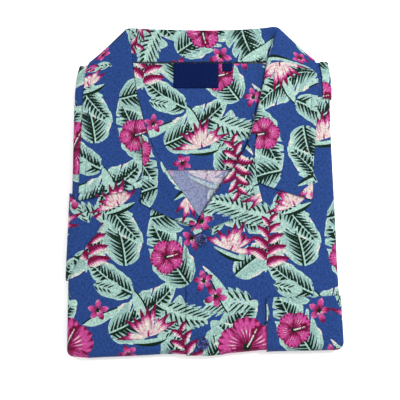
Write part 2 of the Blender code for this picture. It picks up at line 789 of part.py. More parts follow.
def make_label(low_x, high_x, low_y, high_y):
    """A woven label lying on the yoke lining."""
    xs = np.linspace(low_x, high_x, 4)
    ys = np.linspace(low_y, high_y, 4)
    return patch_wall(ys, lambda y: xs, lambda x, y: ON_FRONT, LABEL_CLOTH)


# ---------------------------------------------------------------- collar


def front_fall_rows(side):
    """Collar stations from the gorge to the shoulder, where the fall lies on top."""
    right = side < 0
    roll, seam = (RIGHT_ROLL, RIGHT_SEAM) if right else (LEFT_ROLL, LEFT_SEAM)
    ys = np.linspace(COLLAR_END_Y, COLLAR_TOP_Y, 10)
    line = np.array([(line_x(roll, y), y) for y in ys])
    heading = np.gradient(line, axis=0)
    heading /= np.linalg.norm(heading, axis=1, keepdims=True)
    outward = heading[:, ::-1] * ((-1.0, 1.0) if right else (1.0, -1.0))
    centre = line + outward * (COLLAR_ROLL + 0.5 * COLLAR_CLOTH)
    low = np.vstack((centre[0], RIGHT_FALL_LOW if right else LEFT_FALL_LOW))
    end = spaced(RIGHT_FALL_SIDE if right else LEFT_FALL_SIDE, np.linspace(0.0, 1.0, len(ys)))
    high = spaced((centre[-1], end[-1]), FALL_SHARES)
    flat = coons(low, high, centre, end)
    lying = ON_STACK + 0.5 * COLLAR_CLOTH
    rows = []
    for k, y in enumerate(ys):
        cx, cy = centre[k]
        base = surface_z(cx, cy, lying)
        seam_x = line_x(seam, y)
        seam_point = np.array((seam_x, cy, surface_z(seam_x, cy, lying)))
        start = np.array((cx, cy, base))
        points = [seam_point + (start - seam_point) * share for share in (0.0, 0.5, 0.8)]
        for angle in ROLL_ANGLES:
            out = COLLAR_ROLL * math.cos(math.radians(angle))
            up = COLLAR_ROLL * (1.0 + math.sin(math.radians(angle)))
            points.append(np.array((cx - outward[k, 0] * out, cy - outward[k, 1] * out, base + up)))
        for x, y_fall in flat[k][1:]:
            near = 1.0 - smoothstep(0.0, 1.6 * PUFF_REACH, math.hypot(x - cx, y_fall - cy))
            raised = LAYER + (2.0 * COLLAR_ROLL - LAYER) * near
            points.append(np.array((x, y_fall, surface_z(x, y_fall, lying + raised))))
        rows.append(points)
    return np.array(rows)


ROLL_ANGLES = (-90.0, -52.0, -16.0, 20.0, 56.0, 90.0)
FALL_SHARES = (0.0, 0.04, 0.17, 0.32, 0.48, 0.56, 0.76, 1.0)


def turning_row(station, side):
    """One collar station in which the roll's plane is turned by the twist."""
    seam, roll, edge = (np.array(station[k : k + 3]) for k in (0, 3, 6))
    heading, twist = (math.radians(value) for value in station[9:11])
    inward = np.array((math.cos(heading), math.sin(heading), 0.0))
    outward = np.array((-side * math.sin(heading), side * math.cos(heading), 0.0))
    to_fall = np.array((0.0, 0.0, math.cos(twist))) + outward * math.sin(twist)
    centre = roll + inward * (COLLAR_ROLL + 0.5 * COLLAR_CLOTH)
    start = centre - to_fall * COLLAR_ROLL
    down = np.array((0.0, 0.0, station[11]))
    points = [seam, seam + 0.5 * (start - seam) - 0.7 * down, seam + 0.8 * (start - seam) - down]
    for angle in ROLL_ANGLES:
        bend = math.radians(angle)
        points.append(centre + COLLAR_ROLL * (to_fall * math.sin(bend) - inward * math.cos(bend)))
    finish = points[-1]
    points += [finish + (edge - finish) * share for share in FALL_SHARES[1:]]
    return points


def make_collar():
    """The whole collar as one wall: right fall, round the back, left fall."""
    stations = np.array(RIGHT_TURN + (BACK_MIDDLE,) + tuple(reversed(LEFT_TURN)), float)
    stations = smooth_line(stations, 2)
    middle = len(stations) // 2
    turned = [turning_row(row, -1 if k < middle else 1) for k, row in enumerate(stations)]
    rows = np.concatenate((front_fall_rows(-1), np.array(turned), front_fall_rows(1)[::-1]))
    collar = make_object("collar", thick_wall(rows, COLLAR_CLOTH), "petal")

    # The bunched cloth inside each corner joins the walls where the fold pinches them.
    bunches = bmesh.new()
    for centre in COLLAR_BUNCHES:
        bunch = bmesh.ops.create_icosphere(bunches, subdivisions=2, radius=COLLAR_BUNCH_RADIUS * MM)
        bmesh.ops.translate(bunches, verts=bunch["verts"], vec=[value * MM for value in centre])
    joined = collar.modifiers.new("corner bunches", "BOOLEAN")
    joined.operation = "UNION"
    joined.use_self = True
    joined.object = make_helper("collar_bunches", bunches)
    return collar


def make_helper(name, mesh_data):
    """An object that only shapes another one through a modifier."""
    mesh = bpy.data.meshes.new(name)
    mesh_data.to_mesh(mesh)
    mesh_data.free()
    helper = bpy.data.objects.new(name, mesh)
    bpy.data.collections["helpers"].objects.link(helper)
    helper.hide_render = True
    helper.display_type = "WIRE"
    return helper


# ---------------------------------------------------------------- buttons


def make_button(name, x, y):
    """A four-hole button with a raised rim, standing on the lapped front."""
    foot = surface_z(x, y, ON_STACK + LAYER + CLOTH + GAP) + 0.1
    profile = (
        (0.0, BUTTON_THICK - BUTTON_WELL_DEPTH),
        (BUTTON_RADIUS - BUTTON_RIM - 1.0, BUTTON_THICK - BUTTON_WELL_DEPTH),
        (BUTTON_RADIUS - BUTTON_RIM, BUTTON_THICK - 0.2),
        (BUTTON_RADIUS - 0.5 * BUTTON_RIM, BUTTON_THICK),
        (BUTTON_RADIUS - 0.2, BUTTON_THICK - 0.6),
        (BUTTON_RADIUS, 0.5 * BUTTON_THICK),
        (BUTTON_RADIUS - 0.5, 0.4),
        (BUTTON_RADIUS - 1.4, 0.0),
        (0.0, 0.0),
    )
    outline = bmesh.new()
    verts = [outline.verts.new((radius * MM, 0.0, high * MM)) for radius, high in profile]
    edges = [outline.edges.new(pair) for pair in zip(verts, verts[1:])]
    bmesh.ops.spin(
        outline,
        geom=verts + edges,
        cent=(0.0, 0.0, 0.0),
        axis=(0.0, 0.0, 1.0),
        angle=2.0 * math.pi,
        steps=24,
    )
    bmesh.ops.remove_doubles(outline, verts=outline.verts, dist=0.01 * MM)
    bmesh.ops.recalc_face_normals(outline, faces=outline.faces)
    button = make_object(name, outline, "navy", 0.22)

    holes = bmesh.new()
    for quarter in range(4):
        turn = math.radians(45.0 + 90.0 * quarter)
        drill = bmesh.ops.create_cone(
            holes,
            cap_ends=True,
            segments=8,
            radius1=BUTTON_HOLE_RADIUS * MM,
            radius2=BUTTON_HOLE_RADIUS * MM,
            depth=3.0 * BUTTON_THICK * MM,
        )
        reach = BUTTON_HOLE_OFFSET * MM
        bmesh.ops.translate(holes, verts=drill["verts"], vec=(reach * math.cos(turn), reach * math.sin(turn), 0.0))
    cutter = make_helper(name + "_holes", holes)
    for item in (button, cutter):
        item.location = (x * MM, y * MM, foot * MM)
    cut = button.modifiers.new("thread holes", "BOOLEAN")
    cut.object = cutter


# ---------------------------------------------------------------- main


def clear_scene():
    for item in list(bpy.data.objects):
        bpy.data.objects.remove(item)
    for name in ("aloha_shirt", "helpers"):
        collection = bpy.data.collections.new(name)
        bpy.context.scene.collection.children.link(collection)


def main():
    clear_scene()
    make_object("folded_layers", make_folded_layers(), "reverse")
    make_object("right_front", make_front(-1), "print")
    make_object("left_front", make_front(1), "print")
    make_object("right_facing", make_lapel(-1), "leaf")
    make_object("left_facing", make_lapel(1), "leaf")
    make_collar()
    make_object("back_panel", make_back_panel(), "reverse")
    make_object("yoke_lining", make_yoke_lining(), "print")
    make_object("back_yoke", make_back_yoke(), "print")
    make_object("pocket", make_pocket(), "leaf")
    make_object("right_sleeve", make_right_sleeve(), "petal")
    make_object("left_sleeve", make_left_sleeve(), "leaf")
    make_object("neck_label", make_label(*NECK_LABEL), "navy")
    make_object("size_label", make_label(*SIZE_LABEL), "navy")
    for name, x, y in BUTTONS:
        make_button(name, x, y)


main()
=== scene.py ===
"""Finished surfaces of a folded aloha shirt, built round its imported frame.

Lengths are in millimetres until a mesh is made. +X is to the viewer's right, +Y runs
from the hem fold to the collar and +Z is up. "Right" and "left" in a piece's name are
the wearer's. Every cloth piece is a grid of points on the surface that its solid has,
turned into a thin shell, and each point knows its place in the flat cut, where the
print is worked out.
"""

import math

import bmesh
import bpy
import numpy as np
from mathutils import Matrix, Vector


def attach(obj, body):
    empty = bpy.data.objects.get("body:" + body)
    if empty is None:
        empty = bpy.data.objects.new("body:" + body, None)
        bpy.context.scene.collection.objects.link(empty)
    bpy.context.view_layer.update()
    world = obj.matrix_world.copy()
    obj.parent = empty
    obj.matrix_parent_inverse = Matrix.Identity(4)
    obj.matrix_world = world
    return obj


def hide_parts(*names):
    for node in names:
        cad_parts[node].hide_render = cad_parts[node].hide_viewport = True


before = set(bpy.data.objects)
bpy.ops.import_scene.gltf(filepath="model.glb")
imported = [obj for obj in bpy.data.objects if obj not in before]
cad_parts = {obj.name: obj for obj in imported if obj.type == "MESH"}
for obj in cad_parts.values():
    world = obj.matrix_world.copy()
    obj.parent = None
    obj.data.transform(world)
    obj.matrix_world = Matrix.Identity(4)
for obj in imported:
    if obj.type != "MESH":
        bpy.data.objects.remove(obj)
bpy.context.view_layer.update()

bl_info = {
    "name": "Folded aloha shirt",
    "version": (1, 0, 0),
    "blender": (4, 5, 0),
    "location": "3D View > Sidebar > Shirt",
    "description": "Builds the cloth, collar, labels and buttons of a folded aloha shirt",
    "category": "Object",
}

MM = 0.001

# The folded stack and the walls on it, as in the solids
CLOTH = 1.2
GAP = 0.3
MID_PLANE = 8.0
BODY_STACK = 5.2
TAIL_STACK = MID_PLANE - GAP - CLOTH
NECK_DROP = 3.0
NECK_SLOPE = 9.0
NECK_RIM = 2.5
NECK_CLEAR = 0.6
SIDE_ROLL = 5.0
TAIL_INSET = 2.0
SIDE_ROLL_PER_RADIAN = 6.0
SHOULDER_ROLL = 3.0
TAIL_HEM_SHARE = 0.105
ON_STACK = GAP
ON_FRONT = ON_STACK + CLOTH + GAP
ROUND_FRONT = ON_FRONT + 0.6
LAYER = CLOTH + GAP
UNDER_LAP_EDGE = 16.0
LAP_RAMP = 9.0
LAP_TURN = 60.0
FACING_ROLL = 1.9
COLLAR_CLOTH = 1.3
COLLAR_ROLL = 2.1
COLLAR_END_Y = 65.1
COLLAR_TOP_Y = 157.0
LAPEL_TOP_Y = 64.0
PUFF_REACH = 24.0
YOKE_HEM_Y = 19.5
YOKE_TOP_Y = 156.0
BACK_TUCK_Y = 31.0
BACK_LOW_Y = -36.6
PLEAT_X = 4.2
PLEAT_RISE = 0.9
SHADE_SLOT = 2.3
SHADE_SLOT_DEPTH = 2.8
LABEL_CLOTH = 1.0
NECK_LABEL = (-35.4, 20.6, 124.0, 155.8)
SIZE_LABEL = (25.7, 38.1, 146.0, 155.8)
BUTTONS = (("button_1", -0.7, -65.6), ("button_2", 0.9, -185.5))
BUTTON_RADIUS = 7.0
BUTTON_THICK = 2.6
BUTTON_RIM = 1.6
BUTTON_WELL_DEPTH = 0.9
BUTTON_HOLE_RADIUS = 0.8
BUTTON_HOLE_OFFSET = 1.4
BUTTONHOLE_REACH = 9.2
HIDDEN_DROP = 0.35
TAIL_SHARE = 0.085
STITCH_SHARE = 0.84
GROOVE_WIDTH = 0.9
EDGE_LIFT = 1.1
EDGE_REACH = 5.0
BODY_LENGTH = 345.0
FRONT_WIDTH = 150.0
PLACKET_STITCH_IN = 8.0
PLACKET_TOP_X = -16.6
POCKET_LEFT_X = 75.5
POCKET_MIDDLE_X = 120.0
POCKET_TOP_Y = -132.5
SLEEVE_STRIP = 3.2
SLEEVE_APEX_Y = -44.0
LEFT_SLEEVE_END_Y = 107.0
LEFT_SLEEVE_DEPTH = 3.5

# Outer edge of the folded body: y, x of the left edge, x of the right edge
SIDE_EDGES = np.array((
    (-205, -156.6, 163.2), (-189, -157.0, 163.0), (-136, -158.4, 161.8), (-95, -158.6, 160.8),
    (-61, -158.2, 160.8), (-10, -157.6, 160.0), (43, -158.2, 159.2), (94, -159.0, 159.2),
    (120, -158.8, 160.4), (140, -157.2, 159.4), (152, -155.2, 157.6), (160, -153.0, 156.6),
))

# Edge of the hem fold: x, y
FOLD_EDGE = np.array((
    (-165, -199.5), (-150, -201.2), (-131, -202.8), (-83, -200.9), (-45, -198.8),
    (8, -199.3), (38, -196.9), (74, -193.8), (120, -193.0), (165, -191.5),
))

# Shoulder end of the folded body: x, y
SHOULDER_EDGE = np.array(((-165, 153.5), (-100, 155.0), (0, 156.4), (100, 157.2), (165, 158.0)))

# Line of each turned edge from the placket up round the neck: x, y
RIGHT_ROLL = np.array((
    (16.0, -74.0), (9.0, -56.0), (-3.0, -38.6), (-18.2, -15.4), (-33.3, 4.3), (-51.0, 32.2),
    (-61.0, 50.0), (-70.2, 74.8), (-75.0, 93.2), (-81.5, 118.2), (-86.2, 149.4), (-88.0, 168.0),
))
LEFT_ROLL = np.array((
    (-18.0, -74.0), (-16.6, -64.9), (-8.8, -51.1), (4.4, -27.0), (16.0, -9.7), (25.3, 4.3), (44.1, 31.8),
    (55.9, 50.5), (63.4, 77.3), (70.8, 104.2), (76.0, 128.9), (81.3, 157.6), (84.6, 168.0),
))

# Neck seam under the collar's fall, from the gorge to the shoulder: x, y
RIGHT_SEAM = np.array((
    (-75.0, 62.0), (-81.0, 78.0), (-89.0, 95.0), (-96.5, 115.0), (-100.5, 135.0), (-99.0, 151.0),
))
LEFT_SEAM = np.array((
    (67.6, 62.0), (73.0, 78.0), (79.5, 95.0), (87.0, 115.0), (92.5, 135.0), (94.0, 152.0),
))

# Lapels: x, y along the lower edge from the placket to the tip, and from the tip past
# the notch up the gorge seam
RIGHT_LAPEL_LOW = (
    (-6.6, -45.0), (-9.4, -49.2), (-16.9, -47.2), (-28.4, -43.2), (-44.5, -36.2), (-60.6, -28.3),
    (-73.9, -20.8),
)
RIGHT_LAPEL_SIDE = ((-73.9, -20.8), (-72.2, -2.0), (-71.8, 22.0), (-72.0, 44.0), (-73.0, 62.6))
LEFT_LAPEL_LOW = (
    (-8.0, -59.6), (-2.4, -56.9), (18.1, -47.7), (36.4, -40.9), (53.7, -31.1), (72.0, -19.3),
)
LEFT_LAPEL_SIDE = ((72.0, -19.3), (66.6, 4.3), (63.4, 24.0), (62.8, 44.0), (65.4, 62.6))

# Free edges of the collar's fall in front: x, y from the roll down the gorge seam and
# along the lower edge to the tip, and from the tip up the outer edge
RIGHT_FALL_LOW = (
    (-74.6, 63.8), (-73.3, 44.0), (-72.8, 22.0), (-73.1, -1.6), (-83.9, -5.0), (-113.7, -11.4),
    (-148.0, -18.4),
)
RIGHT_FALL_SIDE = ((-148.0, -18.4), (-147.6, 40.0), (-146.8, 100.0), (-145.6, 132.0))
LEFT_FALL_LOW = (
    (67.2, 63.8), (64.2, 44.0), (64.6, 24.0), (67.6, 4.8), (75.3, 1.2), (95.0, -6.0), (132.4, -17.2),
)
LEFT_FALL_SIDE = ((132.4, -17.2), (135.4, 30.0), (140.2, 75.0), (144.2, 132.0))

# The same lines by side, -1 for the wearer's right, and the y over which each front's
# edge starts to turn out
ROLLS = {-1: RIGHT_ROLL, 1: LEFT_ROLL}
SEAMS = {-1: RIGHT_SEAM, 1: LEFT_SEAM}
LAPELS = {-1: (RIGHT_LAPEL_LOW, RIGHT_LAPEL_SIDE), 1: (LEFT_LAPEL_LOW, LEFT_LAPEL_SIDE)}
FALLS = {-1: (RIGHT_FALL_LOW, RIGHT_FALL_SIDE), 1: (LEFT_FALL_LOW, LEFT_FALL_SIDE)}
TURN_START = {-1: (-60.0, -42.0), 1: (-74.0, -63.0)}
LAPEL_LOW_Y = {-1: -38.6, 1: -60.0}

# Collar stations from a shoulder to the middle of the back, as in the solid
# seam_x, seam_y, seam_z, roll_x, roll_y, roll_z, edge_x, edge_y, edge_z, heading, twist, sag
RIGHT_TURN = (
    (-93.8, 169.0, 14.3, -88.5, 170.0, 16.7, -144.2, 146.0, 15.9, 187, 14, 0.0),
    (-94.2, 178.2, 15.2, -89.6, 181.0, 17.1, -142.6, 151.5, 15.6, 199, 40, 0.0),
    (-94.5, 186.0, 16.2, -91.5, 191.0, 17.3, -140.3, 156.4, 14.6, 217, 72, 0.0),
    (-95.0, 192.6, 16.0, -93.9, 198.8, 16.7, -137.6, 158.6, 11.8, 236, 102, 0.8),
    (-90.5, 160.0, 11.8, -89.6, 201.6, 15.7, -134.6, 156.8, 8.6, 256, 132, 2.8),
    (-82.0, 159.0, 11.8, -80.0, 201.2, 15.0, -126.0, 148.0, 6.0, 266, 157, 1.8),
    (-62.0, 158.7, 11.8, -61.0, 200.4, 14.7, -86.0, 141.5, 4.4, 270, 173, 1.1),
    (-36.0, 158.5, 11.8, -36.0, 199.7, 14.6, -46.0, 139.5, 3.6, 270, 177, 1.0),
)
LEFT_TURN = (
    (91.0, 170.0, 14.3, 85.6, 171.0, 16.7, 143.4, 149.0, 15.9, 353, 14, 0.0),
    (93.4, 179.4, 15.2, 88.7, 182.0, 17.1, 142.6, 154.5, 15.6, 341, 40, 0.0),
    (94.8, 187.4, 16.2, 91.8, 192.4, 17.3, 141.0, 159.2, 14.6, 323, 72, 0.0),
    (96.0, 194.4, 16.0, 95.0, 200.6, 16.7, 138.6, 161.8, 11.8, 304, 102, 0.8),
    (87.5, 160.2, 11.8, 90.8, 203.4, 15.7, 135.6, 161.5, 8.2, 284, 132, 2.8),
    (79.0, 159.2, 11.8, 80.4, 202.2, 15.0, 126.0, 150.0, 5.7, 274, 157, 1.8),
    (60.0, 158.9, 11.8, 60.0, 200.6, 14.7, 86.0, 142.5, 4.4, 270, 173, 1.1),
    (34.0, 158.6, 11.8, 34.0, 199.2, 14.6, 44.0, 140.0, 3.6, 270, 177, 1.0),
)
BACK_MIDDLE = (-1.0, 158.4, 11.8, -1.0, 198.9, 14.5, -1.0, 139.2, 3.2, 270, 180, 1.0)
ROLL_ANGLES = (-90.0, -52.0, -16.0, 20.0, 56.0, 90.0)
FACING_ANGLES = (-90.0, -50.0, -12.0, 26.0, 58.0)
FALL_SHARES = (0.0, 0.04, 0.17, 0.32, 0.48, 0.56, 0.76, 1.0)

# Sleeve corner that wraps the right side onto the front: y, x of its free edge
SLEEVE_EDGE = np.array((
    (-113.5, -157.6), (-101.5, -153.6), (-93.7, -150.1), (-85.8, -145.5), (-67.9, -136.7),
    (-56.8, -126.9), (-44.0, -119.6), (-29.0, -137.9), (-19.8, -148.9), (-10.0, -157.0),
))

# Soft creases of the fronts: x, y at the start, x, y at the end, width, height, bow
CREASES = (
    (-150, 60, -152, 10, 5.0, -0.35, 2),
    (-120, -30, -60, -62, 5.0, 0.35, 6),
    (-140, -120, -70, -104, 7.0, 0.40, -5),
    (-150, -172, -96, -186, 6.0, 0.35, 4),
    (-60, -120, -30, -196, 6.0, -0.35, -4),
    (-96, -150, -40, -142, 5.0, -0.30, 5),
    (30, -60, 78, -36, 5.0, 0.30, -4),
    (96, -40, 150, -66, 6.0, 0.35, 5),
    (60, -92, 142, -110, 7.0, -0.35, 6),
    (24, -120, 66, -186, 6.0, 0.35, -6),
    (90, -150, 150, -178, 6.0, 0.30, 6),
    (112, 96, 146, 60, 5.0, 0.30, 3),
)


# ---------------------------------------------------------------- curves and grids


def smoothstep(low, high, value):
    share = np.clip((value - low) / (high - low), 0.0, 1.0)
    return share * share * (3.0 - 2.0 * share)


def lengths_along(line):
    """Length from the start of a line to each of its rows, on the first three columns."""
    steps = np.linalg.norm(np.diff(np.asarray(line, float)[:, :3], axis=0), axis=1)
    return np.concatenate(([0.0], np.cumsum(steps)))


def spaced(line, shares):
    """Rows at the given shares of a line's length."""
    line = np.asarray(line, float)
    length = lengths_along(line)
    wanted = np.asarray(shares) * length[-1]
    return np.stack([np.interp(wanted, length, line[:, k]) for k in range(line.shape[1])], axis=1)


def smooth_line(line, parts):
    """Catmull-Rom curve through the rows of `line`, `parts` steps between rows."""
    line = np.asarray(line, float)
    padded = np.vstack((2 * line[0] - line[1], line, 2 * line[-1] - line[-2]))
    rows = []
    for k in range(len(line) - 1):
        before, start, end, after = padded[k : k + 4]
        for step in range(parts):
            t = step / parts
            bend = (2 * before - 5 * start + 4 * end - after) * t**2
            twist = (3 * start - before - 3 * end + after) * t**3
            rows.append(0.5 * (2 * start + (end - before) * t + bend + twist))
    rows.append(line[-1])
    return np.array(rows)


def coons(low, high, start, end):
    """Grid between four edge curves, as in the solids."""
    rows, columns = len(start), len(low)
    up = np.linspace(0.0, 1.0, rows)[:, None, None]
    across = lengths_along(low)
    across = (across / across[-1])[None, :, None]
    ruled = (1 - up) * low[None] + up * high[None] + (1 - across) * start[:, None] + across * end[:, None]
    corners = (1 - up) * ((1 - across) * low[0] + across * low[columns - 1])
    corners = corners + up * ((1 - across) * high[0] + across * high[columns - 1])
    return ruled - corners


def refined(grid, spacing, axis):
    """A grid with more points along one axis, on smooth curves through its own."""
    grid = np.moveaxis(grid, axis, 0)
    steps = np.maximum(np.linalg.norm(np.diff(grid[..., :3], axis=0), axis=2).mean(axis=1), 0.01)
    at = np.concatenate(([0.0], np.cumsum(steps)))
    slopes = np.gradient(grid, at, axis=0)
    fine = []
    for k, step in enumerate(steps):
        parts = max(1, round(step / spacing))
        for t in np.arange(parts) / parts:
            start = (1 + 2 * t) * (1 - t) ** 2 * grid[k] + t * (1 - t) ** 2 * step * slopes[k]
            end = t * t * (3 - 2 * t) * grid[k + 1] + t * t * (t - 1) * step * slopes[k + 1]
            fine.append(start + end)
    fine.append(grid[-1])
    return np.moveaxis(np.array(fine), 0, axis)


def grid_normals(grid):
    normal = np.cross(np.gradient(grid, axis=1), np.gradient(grid, axis=0))
    return normal / np.maximum(np.linalg.norm(normal, axis=2, keepdims=True), 1e-9)


def line_x(line, y):
    """x of a line of x, y rows at a given y."""
    return np.interp(y, line[:, 1], line[:, 0])


def path_distance(x, y, path):
    """Distance from points to a line of x, y rows, and the share of its length there."""
    best = np.full(np.shape(x), 1e9)
    place = np.zeros(np.shape(x))
    path = np.asarray(path, float)
    length = lengths_along(path)
    for k, step in enumerate(np.diff(length)):
        along = (path[k + 1] - path[k]) / max(step, 1e-6)
        t = np.clip((x - path[k, 0]) * along[0] + (y - path[k, 1]) * along[1], 0.0, step)
        off = np.hypot(x - path[k, 0] - t * along[0], y - path[k, 1] - t * along[1])
        nearer = off < best
        best = np.where(nearer, off, best)
        place = np.where(nearer, (length[k] + t) / length[-1], place)
    return best, place


def inset_path(path, inset):
    """A line moved to its left by `inset`, with its corners kept."""
    path = np.asarray(path, float)
    along = np.diff(path, axis=0)
    along /= np.linalg.norm(along, axis=1, keepdims=True)
    left = np.stack((-along[:, 1], along[:, 0]), axis=1)
    before = np.vstack((left[0], left))
    after = np.vstack((left, left[-1]))
    middle = before + after
    middle /= np.linalg.norm(middle, axis=1, keepdims=True)
    reach = inset / np.maximum(0.35, (middle * after).sum(axis=1, keepdims=True))
    return path + middle * reach


# ---------------------------------------------------------------- the folded stack


def neck_mask(x, y):
    """1 inside the open neck, 0 under the fronts."""
    inside = np.minimum(x - line_x(RIGHT_ROLL, y), line_x(LEFT_ROLL, y) - x)
    return smoothstep(-NECK_RIM, NECK_SLOPE, inside)


def crease_height(x, y, table):
    """Height of soft troughs and ridges."""
    height = 0.0
    for x0, y0, x1, y1, width, rise, bow in table:
        length = math.hypot(x1 - x0, y1 - y0)
        ux, uy = (x1 - x0) / length, (y1 - y0) / length
        t = ((x - x0) * ux + (y - y0) * uy) / length
        bowed = 4.0 * bow * t * (1.0 - t)
        off = (y - y0) * ux - (x - x0) * uy - bowed
        ends = smoothstep(-0.12, 0.3, t) * (1.0 - smoothstep(0.7, 1.12, t))
        spread = width * (0.75 + 0.5 * np.sin(3.0 * t + rise * 9.0) ** 2)
        height = height + rise * ends * np.exp(-((off / spread) ** 2))
    return height


def relief(x, y):
    """Gentle unevenness that all layers of the body share."""
    drift = 0.22 * np.sin(x / 13.0 + 1.3 * np.sin(y / 37.0)) * np.sin(y / 19.0 + 0.9 * np.sin(x / 41.0))
    ripple = 0.10 * np.sin((x - 0.6 * y) / 7.0 + 2.0 * np.sin(y / 29.0))
    return drift + ripple + crease_height(x, y, CREASES)


def stack_height(x, y, turn):
    """Thickness of the hidden layers above (turn 0) or below (turn pi) the mid plane."""
    open_neck = neck_mask(x, y)
    crossing = 0.35 * np.sin(x / 31.0 + 0.8) * np.sin(y / 47.0 + 0.4)
    swell = crossing + 0.25 * np.sin((x + 0.7 * y) / 26.0) - 0.2 + relief(x, y)
    body = BODY_STACK - NECK_DROP * open_neck + swell * (1.0 - open_neck) - neck_slot(x, y)
    return body + (TAIL_STACK - body) * tail_share(turn)


def neck_slot(x, y):
    """How deep the layers sink beside the left lapel's roll, which stands clear of them."""
    beside = x - line_x(LEFT_ROLL, y) + 0.2 * SHADE_SLOT
    return SHADE_SLOT_DEPTH * slot_share(y) * np.exp(-((beside / (0.85 * SHADE_SLOT)) ** 4))


def slot_share(y):
    """1 where that slot is at its deepest, down to 0 at its ends."""
    return smoothstep(-42.0, -30.0, y) * smoothstep(140.0, 96.0, y)


def tail_share(turn):
    return 0.5 - 0.5 * np.cos(turn)


def side_limit(side, y):
    """Distance from the centre line to where the side's roll starts."""
    column = 1 if side < 0 else 2
    return side * np.interp(y, SIDE_EDGES[:, 0], SIDE_EDGES[:, column]) - SIDE_ROLL - GAP - CLOTH


def fold_axis(x):
    edge = np.interp(x, FOLD_EDGE[:, 0], FOLD_EDGE[:, 1])
    return edge + 0.5 * (BODY_STACK + TAIL_STACK) + GAP + CLOTH


def shoulder_axis(x):
    edge = np.interp(x, SHOULDER_EDGE[:, 0], SHOULDER_EDGE[:, 1])
    return edge - SHOULDER_ROLL - GAP - CLOTH


def share_of(y, x=0.0):
    return (shoulder_axis(x) - y) / (shoulder_axis(x) - fold_axis(x))


def row_y(share, x):
    return shoulder_axis(x) + share * (fold_axis(x) - shoulder_axis(x))


def stack_point(side, depth, rows, lift):
    """Points `lift` above the stack, as in the solids. `rows` holds share, turn and end
    as columns; `depth` is how far a point lies inside the side's roll."""
    share, turn, end = (rows[:, k, None] for k in range(3))
    limit = side_limit(side, row_y(share, 0.0))
    flat = np.sin(end)
    roll = SIDE_ROLL - TAIL_INSET * tail_share(turn)
    angle = 0.5 * math.pi + np.minimum(depth, 0.0) / SIDE_ROLL_PER_RADIAN
    x_flat = side * (limit - np.maximum(depth, 0.0))
    height = stack_height(x_flat, row_y(share, x_flat), turn)
    rise = (0.5 * height + lift) * np.sin(angle)
    out = (roll * np.sqrt(np.maximum(flat, 0.0)) + lift) * np.cos(angle)
    x = x_flat + side * np.where(depth < 0.0, out, 0.0)
    high = 0.5 * height + rise * flat
    y = row_y(share, x) + (SHOULDER_ROLL + lift) * np.cos(end) - high * np.sin(turn)
    return np.stack((x, y, MID_PLANE + high * np.cos(turn)), axis=2)


def stack_cut(side, depth, rows, lift):
    """Where the same points lie in the flat cut."""
    share, turn, end = (rows[:, k, None] for k in range(3))
    limit = side_limit(side, row_y(share, 0.0))
    u = side * (limit - depth * np.where(depth < 0.0, 1.1, 1.0))
    x = side * (limit - np.maximum(depth, 0.0))
    hairpin = 0.5 * (BODY_STACK + TAIL_STACK) + 1.5
    over = (SHOULDER_ROLL + lift) * (0.5 * math.pi - end)
    past = np.where(turn > 3.14, fold_axis(x) - row_y(share, x), 0.0)
    v = np.where(turn > 3.14, fold_axis(x), row_y(share, x)) + over - hairpin * turn + past
    return np.stack((u, v + 0.0 * u), axis=2)


def surface_z(x, y, lift):
    return MID_PLANE + stack_height(x, y, 0.0) + lift


def lap_lift(x, y, turn=0.0):
    """How far the lapped left front is raised by the right front under it."""
    beyond = x - line_x(RIGHT_ROLL, y) - 6.0
    past = smoothstep(LAP_TURN, LAP_TURN + 50.0, np.degrees(turn))
    return LAYER * (1.0 - smoothstep(0.0, LAP_RAMP, beyond)) * (1.0 - past)


# ---------------------------------------------------------------- the print
#
# Each point of the cloth gets three signed distances in millimetres, to the leaf, the
# dark brush strokes and the petals, laid one over another in order, and the tones
# inside them. The material draws their edges from the distances.

LEAF, STROKE, PETAL = range(3)
REPEAT = (212.0, 236.0)
REACH = 3.0


class Print:
    """The print at some points of the flat cut, u and v."""

    def __init__(self, u, v):
        self.u, self.v = u, v
        self.distance = np.full((len(u), 3), -REACH)
        self.tone = np.zeros((len(u), 2))

    def near(self, u, v, reach):
        """Points near a place of the repeat, and their offsets from it."""
        p = (self.u - u + 0.5 * REPEAT[0]) % REPEAT[0] - 0.5 * REPEAT[0]
        q = (self.v - v + 0.5 * REPEAT[1]) % REPEAT[1] - 0.5 * REPEAT[1]
        found = np.nonzero(p * p + q * q < reach * reach)[0]
        return found, p[found], q[found]

    def lay(self, found, colour, distance, tone=None):
        """A painted shape over what lies there. `tone` runs from 0 to 1 in a petal from
        cream to crimson, and in a leaf from pale to grey-green, with -1 for cream."""
        distance = np.clip(distance, -REACH, REACH)
        for other in (LEAF, STROKE, PETAL):
            old = self.distance[found, other]
            new = np.maximum(old, distance) if other == colour else np.minimum(old, -distance)
            self.distance[found, other] = new
        if tone is not None:
            inside = distance > -1.3
            column = 0 if colour == PETAL else 1
            self.tone[found[inside], column] = np.broadcast_to(tone, distance.shape)[inside]


def noise(index, seed=0.0):
    """A steady pseudo-random number from 0 to 1 for each index."""
    value = np.sin(np.asarray(index) * 12.9898 + seed * 78.233) * 43758.5453
    return value - np.floor(value)


def lens(p, q, length, half, peak=0.45):
    """Distance inside a pointed petal along +p, widest at the share `peak`."""
    t = np.clip(p / length, 0.0, 1.0)
    warped = np.where(t < peak, 0.5 * t / peak, 0.5 + 0.5 * (t - peak) / (1.0 - peak))
    width = half * np.sin(math.pi * warped) ** 0.85
    beyond = np.maximum(-p, p - length)
    return np.where(beyond > 0.0, -np.hypot(beyond, q), 0.93 * (width - np.abs(q)))


def turned(p, q, angle, p0=0.0, q0=0.0):
    """Offsets seen along an angle in degrees, from a place p0, q0."""
    c, s = math.cos(math.radians(angle)), math.sin(math.radians(angle))
    return (p - p0) * c + (q - q0) * s, (q - q0) * c - (p - p0) * s


